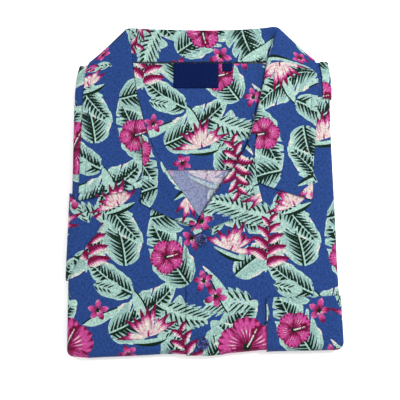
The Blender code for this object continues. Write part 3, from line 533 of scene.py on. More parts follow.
def big_leaf(cloth, found, p, q, size, seed):
    """A torn banana leaf with brushed side veins, `size` long. Some have a plain half."""
    bend = (0.5 * noise(seed) + 0.15) * (1.0 if noise(seed, 3.0) > 0.5 else -1.0)
    q = q - bend * 0.5 * p * p / size
    t = np.clip(p / size, 0.0, 1.0)
    side = np.where(q > 0.0, 1.0, -1.0)
    across = np.abs(q)
    half = 0.235 * size * (0.85 + 0.3 * noise(seed, 1.0))
    wave = 1.0 + 0.05 * np.sin(p / 5.3 + side + seed) + 0.03 * np.sin(p / 2.1 + 2.0 * side)
    width = half * np.sin(math.pi * t**0.72) ** 0.62 * wave
    vein = p - 0.55 * across - 0.35 * across * across / half
    inside = 0.9 * (width - across)
    inside = np.where((p < 0.0) | (p > size), -np.hypot(np.maximum(-p, p - size), across), inside)
    for k in range(4):
        tear = size * (0.22 + 0.15 * k + 0.06 * noise(seed + k, 2.0))
        of_side = 1.0 if noise(seed + k, 5.0) > 0.45 else -1.0
        gap = 0.24 * (across - (0.25 + 0.3 * noise(seed + k, 6.0)) * half)
        cut = np.abs(vein - tear) - np.maximum(gap, -3.0)
        inside = np.where(side == of_side, np.minimum(inside, 0.85 * cut), inside)
    faint = 0.5 + 0.5 * np.sin(vein * 2.0 * math.pi / 2.9 + 0.6 * np.sin(across))
    rim = 1.0 - smoothstep(0.8, 2.4, inside)
    end = across / np.maximum(width, 1.0)
    cream = smoothstep(0.60, 0.85, noise(np.floor(vein / 8.0) + side, seed)) * smoothstep(0.50, 0.95, end)
    body = (0.35 + 0.65 * faint) * smoothstep(0.4, 1.6, across)
    cloth.lay(found, LEAF, inside, np.clip(body * (1.0 - rim) - cream, -1.0, 1.0))
    plain = (1.0 if noise(seed, 9.0) > 0.5 else -1.0) if noise(seed, 8.0) > 0.62 else 0.0
    pitch = 4.8
    number = np.floor(vein / pitch)
    centre = (number + 0.5) * pitch
    reach = (0.66 + 0.28 * noise(number + 40.0 * side, seed)) * width
    start = 0.55 + 0.5 * (1.0 - t)
    along = np.clip((across - start) / np.maximum(reach - start, 1.0), 0.0, 1.0)
    full = 1.30 + 0.45 * noise(number, seed + side * 0.5)
    thick = full * (1.0 - along**1.8) * smoothstep(-0.3, 0.05, along)
    stroke = thick - 0.80 * np.abs(vein - centre + 0.05 * across * np.sin(number * 2.3))
    stroke = np.minimum(stroke, np.minimum(across - start, inside - 0.7))
    drawn = (t > 0.02) & (t < 0.90) & (along < 1.0) & (side != plain) & (reach - start > 2.4)
    cloth.lay(found, STROKE, np.where(drawn, stroke, -REACH))
    base = np.minimum(1.15 * (1.0 - t) - np.abs(across - start - 1.0 * (1.0 - t)), 0.62 * size - p)
    darker = side == (1.0 if noise(seed, 11.0) > 0.5 else -1.0)
    cloth.lay(found, STROKE, np.where(darker & (p > 0.0), np.minimum(base, inside), -REACH))


def frond(cloth, found, p, q, size, seed):
    """A leaf of narrow fingers along a curved stem."""
    q = q - 0.25 * math.copysign(1.0, noise(seed) - 0.5) * p * p / size
    count = 8
    for k in range(count):
        share = (k + 0.6) / count
        length = size * (0.20 + 0.26 * math.sin(math.pi * share**0.8))
        for side in (-1.0, 1.0):
            lean = side * (64.0 - 30.0 * share)
            a, b = turned(p, q, lean, size * share * 0.92, 0.0)
            b = b + side * 0.006 * a * a
            shape = lens(a, b, length, 3.2, 0.4)
            cloth.lay(found, LEAF, shape, 0.5 * (b * side > 0.0))
            vein = lens(a - 1.5, b - side * 1.1, 0.72 * length, 1.15, 0.3)
            cloth.lay(found, STROKE, np.minimum(vein, shape - 0.4))
    stem = np.minimum(1.5 - 0.9 * np.clip(p / size, 0, 1) - np.abs(q), np.minimum(p + 6.0, size - p))
    cloth.lay(found, LEAF, stem, -0.2)


def blade(cloth, found, p, q, size, seed):
    """A long narrow leaf with one dark side."""
    q = q - (noise(seed) - 0.5) * 1.1 * p * p / size
    shape = lens(p, q, size, 0.085 * size + 1.6, 0.35)
    tone = 0.35 * (0.5 + 0.5 * np.sin(q * 2.6)) - 1.2 * smoothstep(0.75, 1.0, p / size)
    cloth.lay(found, LEAF, shape, tone)
    dark = np.minimum(1.5 - shape, shape + 0.2)
    dark = np.minimum(dark, q + 0.4)
    cloth.lay(found, STROKE, np.minimum(dark, 0.55 * size - np.abs(p - 0.3 * size)))


def bird_flower(cloth, found, p, q, size, seed):
    """Pointed petals that fan out of a curved sheath."""
    a, b = turned(p, q, -8.0, -0.62 * size, -0.02 * size)
    b = b + 0.26 * a * (1.0 - a / (1.25 * size)) * np.where(a > 0.0, 1.0, 0.0)
    sheath = lens(a, b, 1.2 * size, 0.115 * size, 0.62)
    petals = (158.0, 18.0, 132.0, 44.0, 112.0, 66.0, 98.0, 82.0)
    for k, lean in enumerate(petals):
        lean += 9.0 * (noise(seed + k) - 0.5)
        length = size * (0.74 + 0.40 * noise(seed + k, 2.0))
        c, d = turned(p, q, lean)
        d = d - 0.005 * (lean - 88.0) / 90.0 * c * c
        barb = turned(c, d, 26.0 if k % 2 else -26.0, 0.38 * length, 0.0)
        barb = lens(*barb, 0.34 * length, 0.048 * size, 0.4)
        shape = np.maximum(lens(c, d, length, 0.092 * size, 0.42), barb)
        r = np.clip(c / length, 0.0, 1.0)
        hair = 0.20 * np.sin(d * 3.0 + 5.0 * noise(k, seed)) + 0.12 * np.sin(d * 6.3 + c * 0.2)
        edge = 0.50 * (1.0 - smoothstep(0.0, 1.7, shape))
        foot = 0.9 * (1.0 - smoothstep(0.05, 0.3, r)) * (np.abs(d) < 0.8)
        tone = 1.45 * smoothstep(0.42, 1.0, r) + hair * (0.3 + r) + edge * (0.25 + r) + foot * (k % 2)
        cloth.lay(found, PETAL, shape, np.clip(tone, 0.0, 1.0))
    cloth.lay(found, LEAF, sheath, 0.25 + 0.25 * np.sin(b * 2.0))
    under = np.minimum(1.5 + 0.02 * a - np.abs(b + 0.07 * size), sheath + 0.3)
    cloth.lay(found, STROKE, np.minimum(under, a - 0.1 * size))


def heliconia(cloth, found, p, q, size, _seed):
    """Pointed bracts in pairs up a stem."""
    count = 9
    for k in reversed(range(count)):
        share = k / (count - 1)
        side = 1.0 if k % 2 else -1.0
        length = size * (0.42 - 0.20 * share)
        a, b = turned(p, q, side * (46.0 - 20.0 * share), size * share * 0.80, side * 0.4)
        b = b * side - 0.013 * a * a
        shape = lens(a, b, length, 0.25 * length, 0.32)
        r = np.clip(a / length, 0.0, 1.0)
        brushed = b + 0.05 * length * np.sin(a * 2.4 + k)
        lower = smoothstep(0.14 * length, -0.08 * length, brushed)
        tip = 0.75 * smoothstep(0.55, 0.95, r)
        streak = 0.16 * np.sin(b * 4.0 + k)
        cloth.lay(found, PETAL, shape, np.clip(0.06 + 0.94 * lower + tip + streak, 0.0, 1.0))
    stem = np.minimum(1.0 - np.abs(q), np.minimum(p + 8.0, 0.8 * size - p))
    cloth.lay(found, LEAF, np.minimum(stem, -cloth.distance[found, PETAL] - 0.3), 0.3)


def hibiscus(cloth, found, p, q, size, seed):
    """A wide five-petalled flower, `size` from its eye to a petal's end."""
    for k in (0, 2, 4, 1, 3):
        lean = 72.0 * k + 9.0 * (noise(seed + k) - 0.5)
        a, b = turned(p, q, lean)
        length = size * (0.92 + 0.14 * noise(seed + k, 4.0))
        r = a / length
        width = 0.50 * length * np.sin(math.pi * np.clip(r, 0.0, 1.0) ** 1.45 * 0.93) ** 0.62
        theta = np.arctan2(b, np.maximum(a, 0.01))
        ruffle = 1.0 * np.sin(theta * 21.0 + k) + 0.6 * np.sin(theta * 47.0)
        shape = np.minimum(0.9 * (width - np.abs(b)), length + ruffle - np.hypot(a, b))
        shape = np.where(a < 0.0, -np.hypot(a, b), shape)
        fan = np.hypot(a, b) / length
        veins = 0.5 + 0.5 * np.sin(theta * 27.0 + 2.0 * np.sin(fan * 4.0 + k))
        eye = 1.0 - smoothstep(0.10, 0.82, fan + 0.52 * veins - 0.16)
        margin = (1.0 - smoothstep(0.1, 0.26 * size * veins + 1.2, shape)) * (0.45 + 0.55 * veins)
        light = smoothstep(0.72, 1.0, veins) * smoothstep(0.30, 0.44, fan) * (1 - smoothstep(0.50, 0.76, fan))
        tone = 0.49 + 0.51 * np.maximum(eye, margin) - 0.45 * light
        cloth.lay(found, PETAL, shape, np.clip(tone, 0.0, 1.0))
        ink = np.minimum(0.50 * (1.0 - fan / 0.3) - 2.6 * np.abs(np.sin(theta * 8.5 + k)) * fan, 0.24 - fan)
        cloth.lay(found, STROKE, np.where(a > 0.0, np.minimum(size * ink, shape), -REACH))
    a, b = turned(p, q, 36.0)
    b = b - 0.004 * a * a
    cloth.lay(found, STROKE, np.minimum(1.1 - np.abs(b + 1.2), np.minimum(a + 1.5, 0.62 * size - a)))
    cloth.lay(found, LEAF, np.minimum(0.85 - np.abs(b), np.minimum(a, 0.66 * size - a)), -1.0)
    for k in range(9):
        dot_a, dot_b = size * (0.44 + 0.035 * k), 3.0 * (noise(k, seed) - 0.5) + (1.9 if k % 2 else -1.9)
        cloth.lay(found, PETAL, 0.95 - np.hypot(a - dot_a, b - dot_b), 1.0)


def small_flower(cloth, found, p, q, size, seed):
    """A star of five narrow petals."""
    for k in range(5):
        a, b = turned(p, q, 72.0 * k + 10.0 * (noise(seed + k) - 0.5))
        length = size * (0.85 + 0.25 * noise(seed + k, 1.0))
        shape = lens(a, b, length, 0.26 * size, 0.62)
        r = np.clip(a / length, 0.0, 1.0)
        flip = noise(seed + k, 7.0) > 0.5
        tone = (1.05 - 0.75 * r) if flip else (0.1 + 1.0 * r)
        cloth.lay(found, PETAL, shape, np.clip(tone + 0.12 * np.sin(b * 5.0), 0.0, 1.0))
    star = size * (0.11 + 0.15 * np.cos(2.5 * np.arctan2(q, p)) ** 2)
    cloth.lay(found, STROKE, star - np.hypot(p, q))


def round_leaf(cloth, found, p, q, size, _seed):
    """A short broad leaf, pale, with a few strokes at its foot."""
    q = q - 0.15 * p * p / size
    shape = lens(p, q, size, 0.30 * size, 0.55)
    cloth.lay(found, LEAF, shape, 0.35 + 0.3 * np.sin((p - 0.7 * np.abs(q)) * 1.9))
    for k in range(4):
        for side in (-1.0, 1.0):
            a, b = turned(p, q, side * 34.0, size * (0.05 + 0.15 * k), side * 0.7)
            cloth.lay(found, STROKE, np.minimum(lens(a, b, 0.26 * size, 0.95, 0.3), shape - 0.8))


# The print's repeat, from the ground up: motif, its reach as a share of its size, and
# the u, v, angle and size of each place where it lies
MOTIFS = (
    (big_leaf, 1.05, (
        (6, 20, 62, 98), (70, 6, 118, 90), (104, 62, 20, 92), (176, 20, 78, 86), (196, 118, 128, 90),
        (40, 128, 44, 88), (122, 140, 96, 90), (150, 196, 8, 88), (22, 214, -38, 80), (92, 226, -62, 76),
        (130, 108, 158, 66),
    )),
    (frond, 1.1, ((60, 96, 168, 54), (168, 92, -30, 50), (96, 190, 150, 52))),
    (blade, 1.05, ((30, 84, 96, 60), (132, 112, -74, 58), (206, 196, 100, 62), (72, 72, 10, 52))),
    (round_leaf, 1.1, ((84, 118, -20, 34), (188, 70, 200, 32), (12, 176, 70, 34), (140, 4, 150, 38))),
    (bird_flower, 1.35, ((150, 58, 14, 36), (34, 158, -16, 35), (112, 212, 30, 34))),
    (heliconia, 1.25, ((76, 140, 84, 66), (200, 14, 104, 64))),
    (hibiscus, 1.15, ((52, 46, 20, 36), (170, 150, -25, 21), (26, 6, 50, 18))),
    (small_flower, 1.15, (
        (110, 18, 10, 14), (126, 38, 40, 13), (200, 172, 0, 14), (2, 122, 30, 13), (16, 104, 60, 14),
        (90, 88, 15, 13),
    )),
)


def printed(cut):
    """The print's distances and tones at points of the flat cut, in millimetres."""
    cloth = Print(cut[:, 0], cut[:, 1])
    places = [(motif, reach, *place) for motif, reach, rows in MOTIFS for place in rows]
    for number, (motif, reach, u, v, angle, size) in enumerate(places):
        found, p, q = cloth.near(u, v, reach * size)
        if len(found):
            motif(cloth, found, *turned(p, q, angle), size, number * 1.37 + 0.5)
    return cloth.distance, cloth.tone


# ---------------------------------------------------------------- sizes and colours


def length_property(name, description, default):
    return bpy.props.FloatProperty(name=name, description=description, default=default, unit="LENGTH")


class ShirtSizes(bpy.types.PropertyGroup):
    shell: length_property("Cloth", "Thickness of one layer of cloth", 0.0006)
    grid: length_property("Grid", "Distance between a cloth's points", 0.00093)
    thread_pitch: length_property("Thread pitch", "Distance between woven threads", 0.00042)
    stitch_length: length_property("Stitch", "Length of one topstitch", 0.0026)
    stitch_thread: length_property("Thread", "Thickness of the sewing thread", 0.0005)
    topstitch_inset: length_property("Topstitch inset", "Distance of topstitching from an edge", 0.007)


def colour_property(name, description, default):
    return bpy.props.FloatVectorProperty(
        name=name, description=description, subtype="COLOR", size=3, min=0.0, max=1.0, default=default
    )


class ShirtColours(bpy.types.PropertyGroup):
    ground: colour_property("Ground", "Blue of the printed ground", (0.0135, 0.042, 0.164))
    leaf: colour_property("Leaf", "Pale green of the leaves", (0.292, 0.448, 0.393))
    shade: colour_property("Leaf shade", "Grey-green inside the leaves", (0.192, 0.320, 0.300))
    stroke: colour_property("Stroke", "Dark green brush strokes", (0.001, 0.012, 0.004))
    cream: colour_property("Cream", "Lightest part of the petals", (0.520, 0.478, 0.430))
    pink: colour_property("Pink", "Middle of the petals", (0.410, 0.050, 0.210))
    crimson: colour_property("Crimson", "Deepest part of the petals", (0.120, 0.001, 0.027))
    reverse: colour_property("Reverse", "Pale wrong side of the cloth", (0.320, 0.336, 0.448))
    label: colour_property("Label", "Navy of the woven labels", (0.001, 0.005, 0.036))
    button: colour_property("Button", "Dark blue of the buttons", (0.004, 0.005, 0.032))
    # The button rim colour is a painted highlight: the light that the rim catches, painted as paler blue
    rim: colour_property("Button rim", "Paler blue of the buttons' rims", (0.062, 0.085, 0.240))
    thread: colour_property("Thread", "Blue sewing thread", (0.006, 0.014, 0.055))


def sizes():
    return bpy.context.scene.shirt_sizes


def colours():
    return bpy.context.scene.shirt_colours


# ---------------------------------------------------------------- materials


def colour_value(colour):
    return (*colour, 1.0)


def node_group(name, inputs, outputs):
    """An empty shader node group with named sockets."""
    group = bpy.data.node_groups.new(name, "ShaderNodeTree")
    for direction, sockets in (("INPUT", inputs), ("OUTPUT", outputs)):
        for socket, kind in sockets:
            group.interface.new_socket(socket, in_out=direction, socket_type="NodeSocket" + kind)
    return group, group.nodes.new("NodeGroupInput"), group.nodes.new("NodeGroupOutput")


def feed(tree, node, **values):
    """Gives each named input of a node a link or a plain value."""
    for name, value in values.items():
        feed_socket(tree, node.inputs[name.replace("_", " ")], value)


def feed_socket(tree, socket, value):
    if isinstance(value, bpy.types.NodeSocket):
        tree.links.new(value, socket)
    else:
        socket.default_value = value


def node_with(tree, kind, numbers, values, **settings):
    """A new node with its settings, and with its numbered inputs fed."""
    node = tree.nodes.new("ShaderNode" + kind)
    for name, setting in settings.items():
        setattr(node, name, setting)
    for number, value in zip(numbers, values):
        feed_socket(tree, node.inputs[number], value)
    return node.outputs


def math_node(tree, operation, *values):
    """The output of a Math node on two or three sockets or numbers."""
    return node_with(tree, "Math", range(3), values, operation=operation)[0]


def mix_node(tree, share, first, second):
    """The output of a colour Mix node."""
    return node_with(tree, "Mix", (0, 6, 7), (share, first, second), data_type="RGBA")[2]


def ramp_node(tree, value, low, high):
    """A smooth step of a value from low to high."""
    return node_with(tree, "MapRange", range(3), (value, low, high), interpolation_type="SMOOTHSTEP")[0]


def noise_node(tree, vector, scale, detail, stretch=None):
    """The value of a Noise texture, stretched along an axis where wanted."""
    if stretch:
        vector = node_with(tree, "Mapping", (0, 3), (vector, stretch))[0]
    return node_with(tree, "TexNoise", ("Vector", "Scale", "Detail"), (vector, scale, detail))[0]


def split(tree, vector):
    return node_with(tree, "SeparateXYZ", (0,), (vector,))


# Colour inputs of the printed pattern, and their names in the shirt's colours
PAINTS = {
    "Ground": "ground", "Leaf": "leaf", "Leaf shade": "shade", "Stroke": "stroke",
    "Cream": "cream", "Pink": "pink", "Crimson": "crimson",
}
PRINT_EDGE = 0.16
WASHED = 0.52
LABEL_PITCH = 0.00030


def make_print_group():
    """Paints the print from its distances and tones."""
    inputs = [("Distances", "Vector"), ("Tones", "Vector"), *((name, "Color") for name in PAINTS)]
    group, given, out = node_group("printed pattern", inputs, [("Colour", "Color")])
    to_leaf, to_stroke, to_petal = split(group, given.outputs["Distances"])
    petal_tone, leaf_tone, _ = split(group, given.outputs["Tones"])
    colour, leaf, shade, stroke, cream, pink, crimson = (given.outputs[name] for name in PAINTS)
    shaded = mix_node(group, ramp_node(group, leaf_tone, 0.0, 1.0), leaf, shade)
    pale = ramp_node(group, math_node(group, "MULTIPLY", leaf_tone, -1.0), 0.1, 0.8)
    leaf = mix_node(group, pale, shaded, cream)
    blush = mix_node(group, ramp_node(group, petal_tone, 0.08, 0.48), cream, pink)
    petal = mix_node(group, ramp_node(group, petal_tone, 0.50, 0.95), blush, crimson)
    for distance, paint in ((to_leaf, leaf), (to_stroke, stroke), (to_petal, petal)):
        colour = mix_node(group, ramp_node(group, distance, -PRINT_EDGE, PRINT_EDGE), colour, paint)
    feed(group, out, Colour=colour)


def make_weave_group():
    """Plain weave: the threads' height, and how much lighter or darker each one is."""
    inputs = [("Cut", "Vector"), ("Pitch", "Float")]
    group, given, out = node_group("plain weave", inputs, [("Height", "Float"), ("Slub", "Float")])
    u, v, _ = split(group, given.outputs["Cut"])
    rate = math_node(group, "DIVIDE", 2.0 * math.pi, given.outputs["Pitch"])
    waves = [math_node(group, "SINE", math_node(group, "MULTIPLY", value, rate)) for value in (u, v)]
    warp = noise_node(group, given.outputs["Cut"], 1.0, 3.0, (640.0, 260.0, 1.0))
    weft = noise_node(group, given.outputs["Cut"], 1.0, 3.0, (260.0, 820.0, 1.0))
    slub = math_node(group, "MULTIPLY_ADD", weft, 0.95, math_node(group, "MULTIPLY", warp, 1.05))
    feed(group, out, Height=math_node(group, "MULTIPLY", *waves), Slub=slub)


def group_node(tree, name, **values):
    node = tree.nodes.new("ShaderNodeGroup")
    node.node_tree = bpy.data.node_groups[name]
    feed(tree, node, **values)
    return node.outputs


def new_material(name, **values):
    """Node tree and Principled shader of a new material, with the shader's plain values."""
    material = bpy.data.materials.new(name)
    material.use_nodes = True
    shader = material.node_tree.nodes["Principled BSDF"]
    feed(material.node_tree, shader, Sheen_Roughness=0.4, **values)
    return material.node_tree, shader


def add_bump(tree, shader, height, strength, distance):
    values = (strength, distance, height)
    bump = node_with(tree, "Bump", ("Strength", "Distance", "Height"), values)
    feed(tree, shader, Normal=bump[0])


def attribute(tree, name, output="Vector"):
    return node_with(tree, "Attribute", (), (), attribute_name=name)[output]


def cut_place(tree):
    """Where a point lies in the flat cut."""
    return node_with(tree, "UVMap", (), (), uv_map="cut")[0]


def object_place(tree):
    return node_with(tree, "TexCoord", (), ())["Object"]


def toned(colour, gain, lift=0.0):
    return colour_value(tuple(min(1.0, gain * value + lift) for value in colour))


def make_cloth_material():
    """Printed cotton, paler on its wrong side."""
    tree, shader = new_material("printed cloth", Sheen_Weight=0.04, Specular_IOR_Level=0.08)
    place, tones = cut_place(tree), attribute(tree, "tone")
    paints = {key.replace(" ", "_"): colour_value(getattr(colours(), PAINTS[key])) for key in PAINTS}
    pattern = group_node(tree, "printed pattern", Distances=attribute(tree, "print"), Tones=tones, **paints)
    weave = group_node(tree, "plain weave", Cut=place, Pitch=sizes().thread_pitch)
    through = mix_node(tree, WASHED, pattern[0], colour_value(colours().reverse))
    cloth = mix_node(tree, split(tree, tones)[2], pattern[0], through)
    mottle = noise_node(tree, place, 900.0, 4.0)
    lightness = math_node(tree, "MULTIPLY_ADD", weave["Slub"], 1.15, -0.40)
    lightness = math_node(tree, "MULTIPLY", lightness, math_node(tree, "MULTIPLY_ADD", mottle, 0.24, 0.88))
    tinted = node_with(tree, "VectorMath", (0, "Scale"), (cloth, lightness), operation="SCALE")
    rough = math_node(tree, "MULTIPLY_ADD", mottle, 0.16, 0.74)
    feed(tree, shader, Base_Color=tinted[0], Roughness=rough)
    add_bump(tree, shader, weave["Height"], 0.35, 0.00006)


def make_label_material():
    """Close satin weave of the labels, with a slight sheen along its threads."""
    values = {"Roughness": 0.5, "Sheen_Weight": 0.006, "Specular_IOR_Level": 0.015}
    tree, shader = new_material("woven label", **values)
    weave = group_node(tree, "plain weave", Cut=cut_place(tree), Pitch=LABEL_PITCH)
    light = math_node(tree, "MULTIPLY_ADD", weave["Slub"], 1.1, -0.6)
    base = colours().label
    feed(tree, shader, Base_Color=mix_node(tree, light, toned(base, 0.6), toned(base, 1.5, 0.001)))
    add_bump(tree, shader, weave["Height"], 0.4, 0.00005)


def make_button_material():
    """Cast resin with faint depth and fine scuffs, with a painted highlight in paler blue along the rim and a
    fainter one on the well floor.
    """
    tree, shader = new_material("button resin", Coat_Weight=0.06, Specular_IOR_Level=0.12)
    place = object_place(tree)
    cloud, scuff = noise_node(tree, place, 320.0, 4.0), noise_node(tree, place, 2600.0, 3.0)
    base = colours().button
    resin = mix_node(tree, ramp_node(tree, cloud, 0.46, 0.74), colour_value(base), toned(base, 3.0, 0.002))
    # Painted highlight: paler blue where the rim attribute is set, broken into patches by the cloud noise
    pale = math_node(tree, "MULTIPLY", attribute(tree, "rim", "Fac"), ramp_node(tree, cloud, 0.36, 0.60))
    colour = mix_node(tree, pale, resin, colour_value(colours().rim))
    rough = math_node(tree, "MULTIPLY_ADD", scuff, 0.20, 0.12)
    feed(tree, shader, Base_Color=colour, Roughness=rough)
    add_bump(tree, shader, scuff, 0.08, 0.00005)


def make_thread_material():
    """Twisted polyester thread."""
    values = {"Roughness": 0.55, "Sheen_Weight": 0.3, "Specular_IOR_Level": 0.08}
    tree, shader = new_material("sewing thread", **values)
    ply = noise_node(tree, object_place(tree), 3500.0, 2.0)
    base = colours().thread
    feed(tree, shader, Base_Color=mix_node(tree, ply, colour_value(base), toned(base, 2.0, 0.01)))
    add_bump(tree, shader, ply, 0.3, 0.0001)


# ---------------------------------------------------------------- cloth shells


def border(rows, columns):
    """Row and column of each point round a grid, and of its neighbour further in."""
    across, down = np.arange(columns), np.arange(1, rows)
    loop = [(0, c, 1, c) for c in across]
    loop += [(r, columns - 1, r, columns - 2) for r in down]
    loop += [(rows - 1, c, rows - 2, c) for c in across[-2::-1]]
    loop += [(r, 0, r, 1) for r in down[-2::-1]]
    return np.array(loop)


def underside(rows, columns, start, step):
    """The points that a shell's underside keeps of its grid, with all of its border and
    every `step`-th row and column inside, their numbers from `start` on, and its faces."""
    down = [*range(0, rows - 1, step), rows - 1]
    across = [*range(0, columns - 1, step), columns - 1]
    kept = np.ones((rows, columns), bool)
    kept[1:-1, 1:-1] = False
    kept[np.ix_(down, across)] = True
    number = start + np.cumsum(kept).reshape(rows, columns) - 1
    faces = []
    for r0, r1 in zip(down, down[1:]):
        for c0, c1 in zip(across, across[1:]):
            ring = [(r, c0) for r in (range(r0, r1) if c0 == 0 else (r0,))]
            ring += [(r1, c) for c in (range(c0, c1) if r1 == rows - 1 else (c0,))]
            ring += [(r, c1) for r in (range(r1, r0, -1) if c1 == columns - 1 else (r1,))]
            ring += [(r0, c) for c in (range(c1, c0, -1) if r0 == 0 else (c1,))]
            faces.append([int(number[spot]) for spot in ring])
    return kept, number, faces


def cloth_piece(name, top, bottom, cut, wrong_side=0.0, slot="print", step=1):
    """A closed thin shell between two grids, with a rounded rim and its print. `step` 2
    makes its underside coarser."""
    rows, columns = top.shape[:2]
    middle = rows // 2, columns // 2
    across = top[middle[0], middle[1] + 1] - top[middle]
    down = top[middle[0] + 1, middle[1]] - top[middle]
    if np.dot(np.cross(across, down), top[middle] - bottom[middle]) < 0.0:
        top, bottom, cut = top[:, ::-1], bottom[:, ::-1], cut[:, ::-1]
    count = rows * columns
    loop = border(rows, columns)
    edge = top[loop[:, 0], loop[:, 1]]
    under = bottom[loop[:, 0], loop[:, 1]]
    out = edge - top[loop[:, 2], loop[:, 3]]
    out /= np.maximum(np.linalg.norm(out, axis=1, keepdims=True), 1e-6)
    thick = np.linalg.norm(edge - under, axis=1, keepdims=True)
    rim = 0.5 * (edge + under) + 0.4 * thick * out
    kept, number, lower = underside(rows, columns, count, step)
    points = np.concatenate((top.reshape(-1, 3), bottom[kept], rim))
    flat = np.concatenate((cut.reshape(-1, 2), cut[kept], cut[loop[:, 0], loop[:, 1]]))

    index = np.arange(count).reshape(rows, columns)
    upper = (index[:-1, :-1], index[:-1, 1:], index[1:, 1:], index[1:, :-1])
    upper = np.stack(upper, axis=2).reshape(-1, 4)
    high, low = index[loop[:, 0], loop[:, 1]], number[loop[:, 0], loop[:, 1]]
    middle = count + kept.sum() + np.arange(len(loop))
    next_high, next_low, next_middle = (np.roll(ring, -1) for ring in (high, low, middle))
    strips = ((next_high, high, middle, next_middle), (next_middle, middle, low, next_low))
    rims = np.concatenate([np.stack(strip, axis=1) for strip in strips])
    side = np.full(len(points), wrong_side)
    side[count : -len(loop)] = 1.0
    return cloth_object(name, points, upper.tolist() + lower + rims.tolist(), flat, side, slot)


def cloth_object(name, points, faces, flat, side, slot):
    """An object whose points carry the print at their places in the flat cut."""
    mesh = bpy.data.meshes.new(name)
    mesh.from_pydata((points * MM).tolist(), [], faces)
    distance, tone = printed(flat)
    for title, values in (("print", distance), ("tone", np.column_stack((tone, side)))):
        layer = mesh.attributes.new(title, "FLOAT_VECTOR", "POINT")
        layer.data.foreach_set("vector", values.astype(np.float32).ravel())
    corners = np.empty(len(mesh.loops), np.int32)
    mesh.loops.foreach_get("vertex_index", corners)
    layer = mesh.uv_layers.new(name="cut")
    layer.data.foreach_set("uv", (flat[corners] * MM).astype(np.float32).ravel())
    piece = ride_root(name, mesh, "woven label" if slot == "label" else "printed cloth")
    return piece


def ride_root(name, mesh, material):
    """A smooth piece from a mesh, riding on the root."""
    mesh.materials.append(bpy.data.materials[material])
    mesh.shade_smooth()
    piece = bpy.data.objects.new(name, mesh)
    bpy.context.scene.collection.objects.link(piece)
    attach(piece, "root")
    return piece


def lay_sheet(solid, grids, place, held, rests_on, sewn, name=None, **looks):
    """A shell for a sheet in its solid's place, with its rows of stitches, and the flat cut
    of what shows of it. `place` is where it was cut, `sewn` gives the runs of each row, and
    `looks` are cloth_piece's own settings."""
    top, bottom, cut = grids
    piece = cloth_piece(name or solid + "_cloth", top, bottom, laid_out(cut, *place), **looks)
    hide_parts(solid)
    rows = [stitches(title, runs) for title, runs in sewn.items()]


def laid_out(cut, shift_u=0.0, shift_v=0.0, angle=0.0):
    """Where a piece was cut from the printed cloth."""
    c, s = math.cos(math.radians(angle)), math.sin(math.radians(angle))
    u, v = cut[..., 0], cut[..., 1]
    return np.stack((shift_u + u * c - v * s, shift_v + u * s + v * c), axis=-1)


def groove(x, y, path, depth=0.28):
    """How far a line of stitching pulls the cloth down, with small puckers along it."""
    off, place = path_distance(x, y, path)
    length = lengths_along(path)[-1]
    pucker = 0.75 + 0.25 * np.sin(place * length / 1.9) + 0.2 * np.sin(place * length / 5.3)
    inward = np.exp(-((off / GROOVE_WIDTH) ** 2))
    puff = 0.35 * np.exp(-(((off - 3.2) / 1.8) ** 2))
    return depth * (puff - inward * pucker)


# ---------------------------------------------------------------- stitches


def stitch_template():
    """A plump stitch along +X, one unit long and one unit thick."""
    sides = 6
    half = ((-0.5, 0.0, -0.35), (-0.38, 0.42, 0.0), (0.0, 0.5, 0.22))
    stations = (*half, (0.38, 0.42, 0.0), (0.5, 0.0, -0.35))
    points, faces = [], []
    for x, radius, rise in stations:
        turns = range(sides) if radius else (0,)
        for k in turns:
            angle = 2.0 * math.pi * k / sides
            points.append((x, radius * math.cos(angle), radius * math.sin(angle) + rise))
    last = len(points) - 1
    for k in range(sides):
        n = (k + 1) % sides
        faces.append((0, 1 + n, 1 + k))
        faces.append((last, last - sides + k, last - sides + n))
        for ring in (0, 1):
            start = 1 + ring * sides
            faces.append((start + k, start + n, start + sides + n, start + sides + k))
    return np.array(points), faces


def stitches(name, runs):
    """A row of stitches along each run of x, y, z, normal points."""
    template, faces = stitch_template()
    pitch, thick = sizes().stitch_length / MM, sizes().stitch_thread / MM
    points, all_faces = [], []
    for run in runs:
        length = lengths_along(run)[-1]
        count = max(1, int(length / pitch))
        middles = (np.arange(count) + 0.5) / count
        centre = spaced(run, middles)
        ahead = spaced(run, np.minimum(middles + 0.2 / count, 1.0))[:, :3]
        behind = spaced(run, np.maximum(middles - 0.2 / count, 0.0))[:, :3]
        reach = STITCH_SHARE * length / count
        for place, front, back in zip(centre, ahead, behind):
            along = front - back
            along /= max(np.linalg.norm(along), 1e-6)
            up = place[3:6] - along * np.dot(place[3:6], along)
            up /= max(np.linalg.norm(up), 1e-6)
            aside = np.cross(up, along)
            start = len(points)
            for x, y, z in template:
                spot = place[:3] + along * x * reach + aside * y * thick + up * (z + 0.28) * thick
                points.append(spot * MM)
            all_faces += [tuple(start + k for k in face) for face in faces]
    mesh = bpy.data.meshes.new(name)
    mesh.from_pydata([tuple(point) for point in points], [], all_faces)
    return ride_root(name, mesh, "sewing thread")


def run_on(top, path, spacing=1.5):
    """A path of x, y rows laid on a grid's top surface, with the surface's normals."""
    path = spaced(path, np.linspace(0.0, 1.0, max(2, int(lengths_along(path)[-1] / spacing))))
    normals = grid_normals(top)
    normals = normals * np.sign(normals[..., 2:3].mean())
    points, normals = top.reshape(-1, 3), normals.reshape(-1, 3)
    upward = normals[:, 2] > 0.35
    points, normals = points[upward], normals[upward]
    rows = []
    for x, y in path:
        off = (points[:, 0] - x) ** 2 + (points[:, 1] - y) ** 2
        nearest = np.argpartition(off, 4)[:4]
        weight = 1.0 / (off[nearest] + 0.01)
        weight /= weight.sum()
        normal = (normals[nearest] * weight[:, None]).sum(axis=0)
        rows.append((x, y, (points[nearest, 2] * weight).sum(), *normal))
    return np.array(rows)


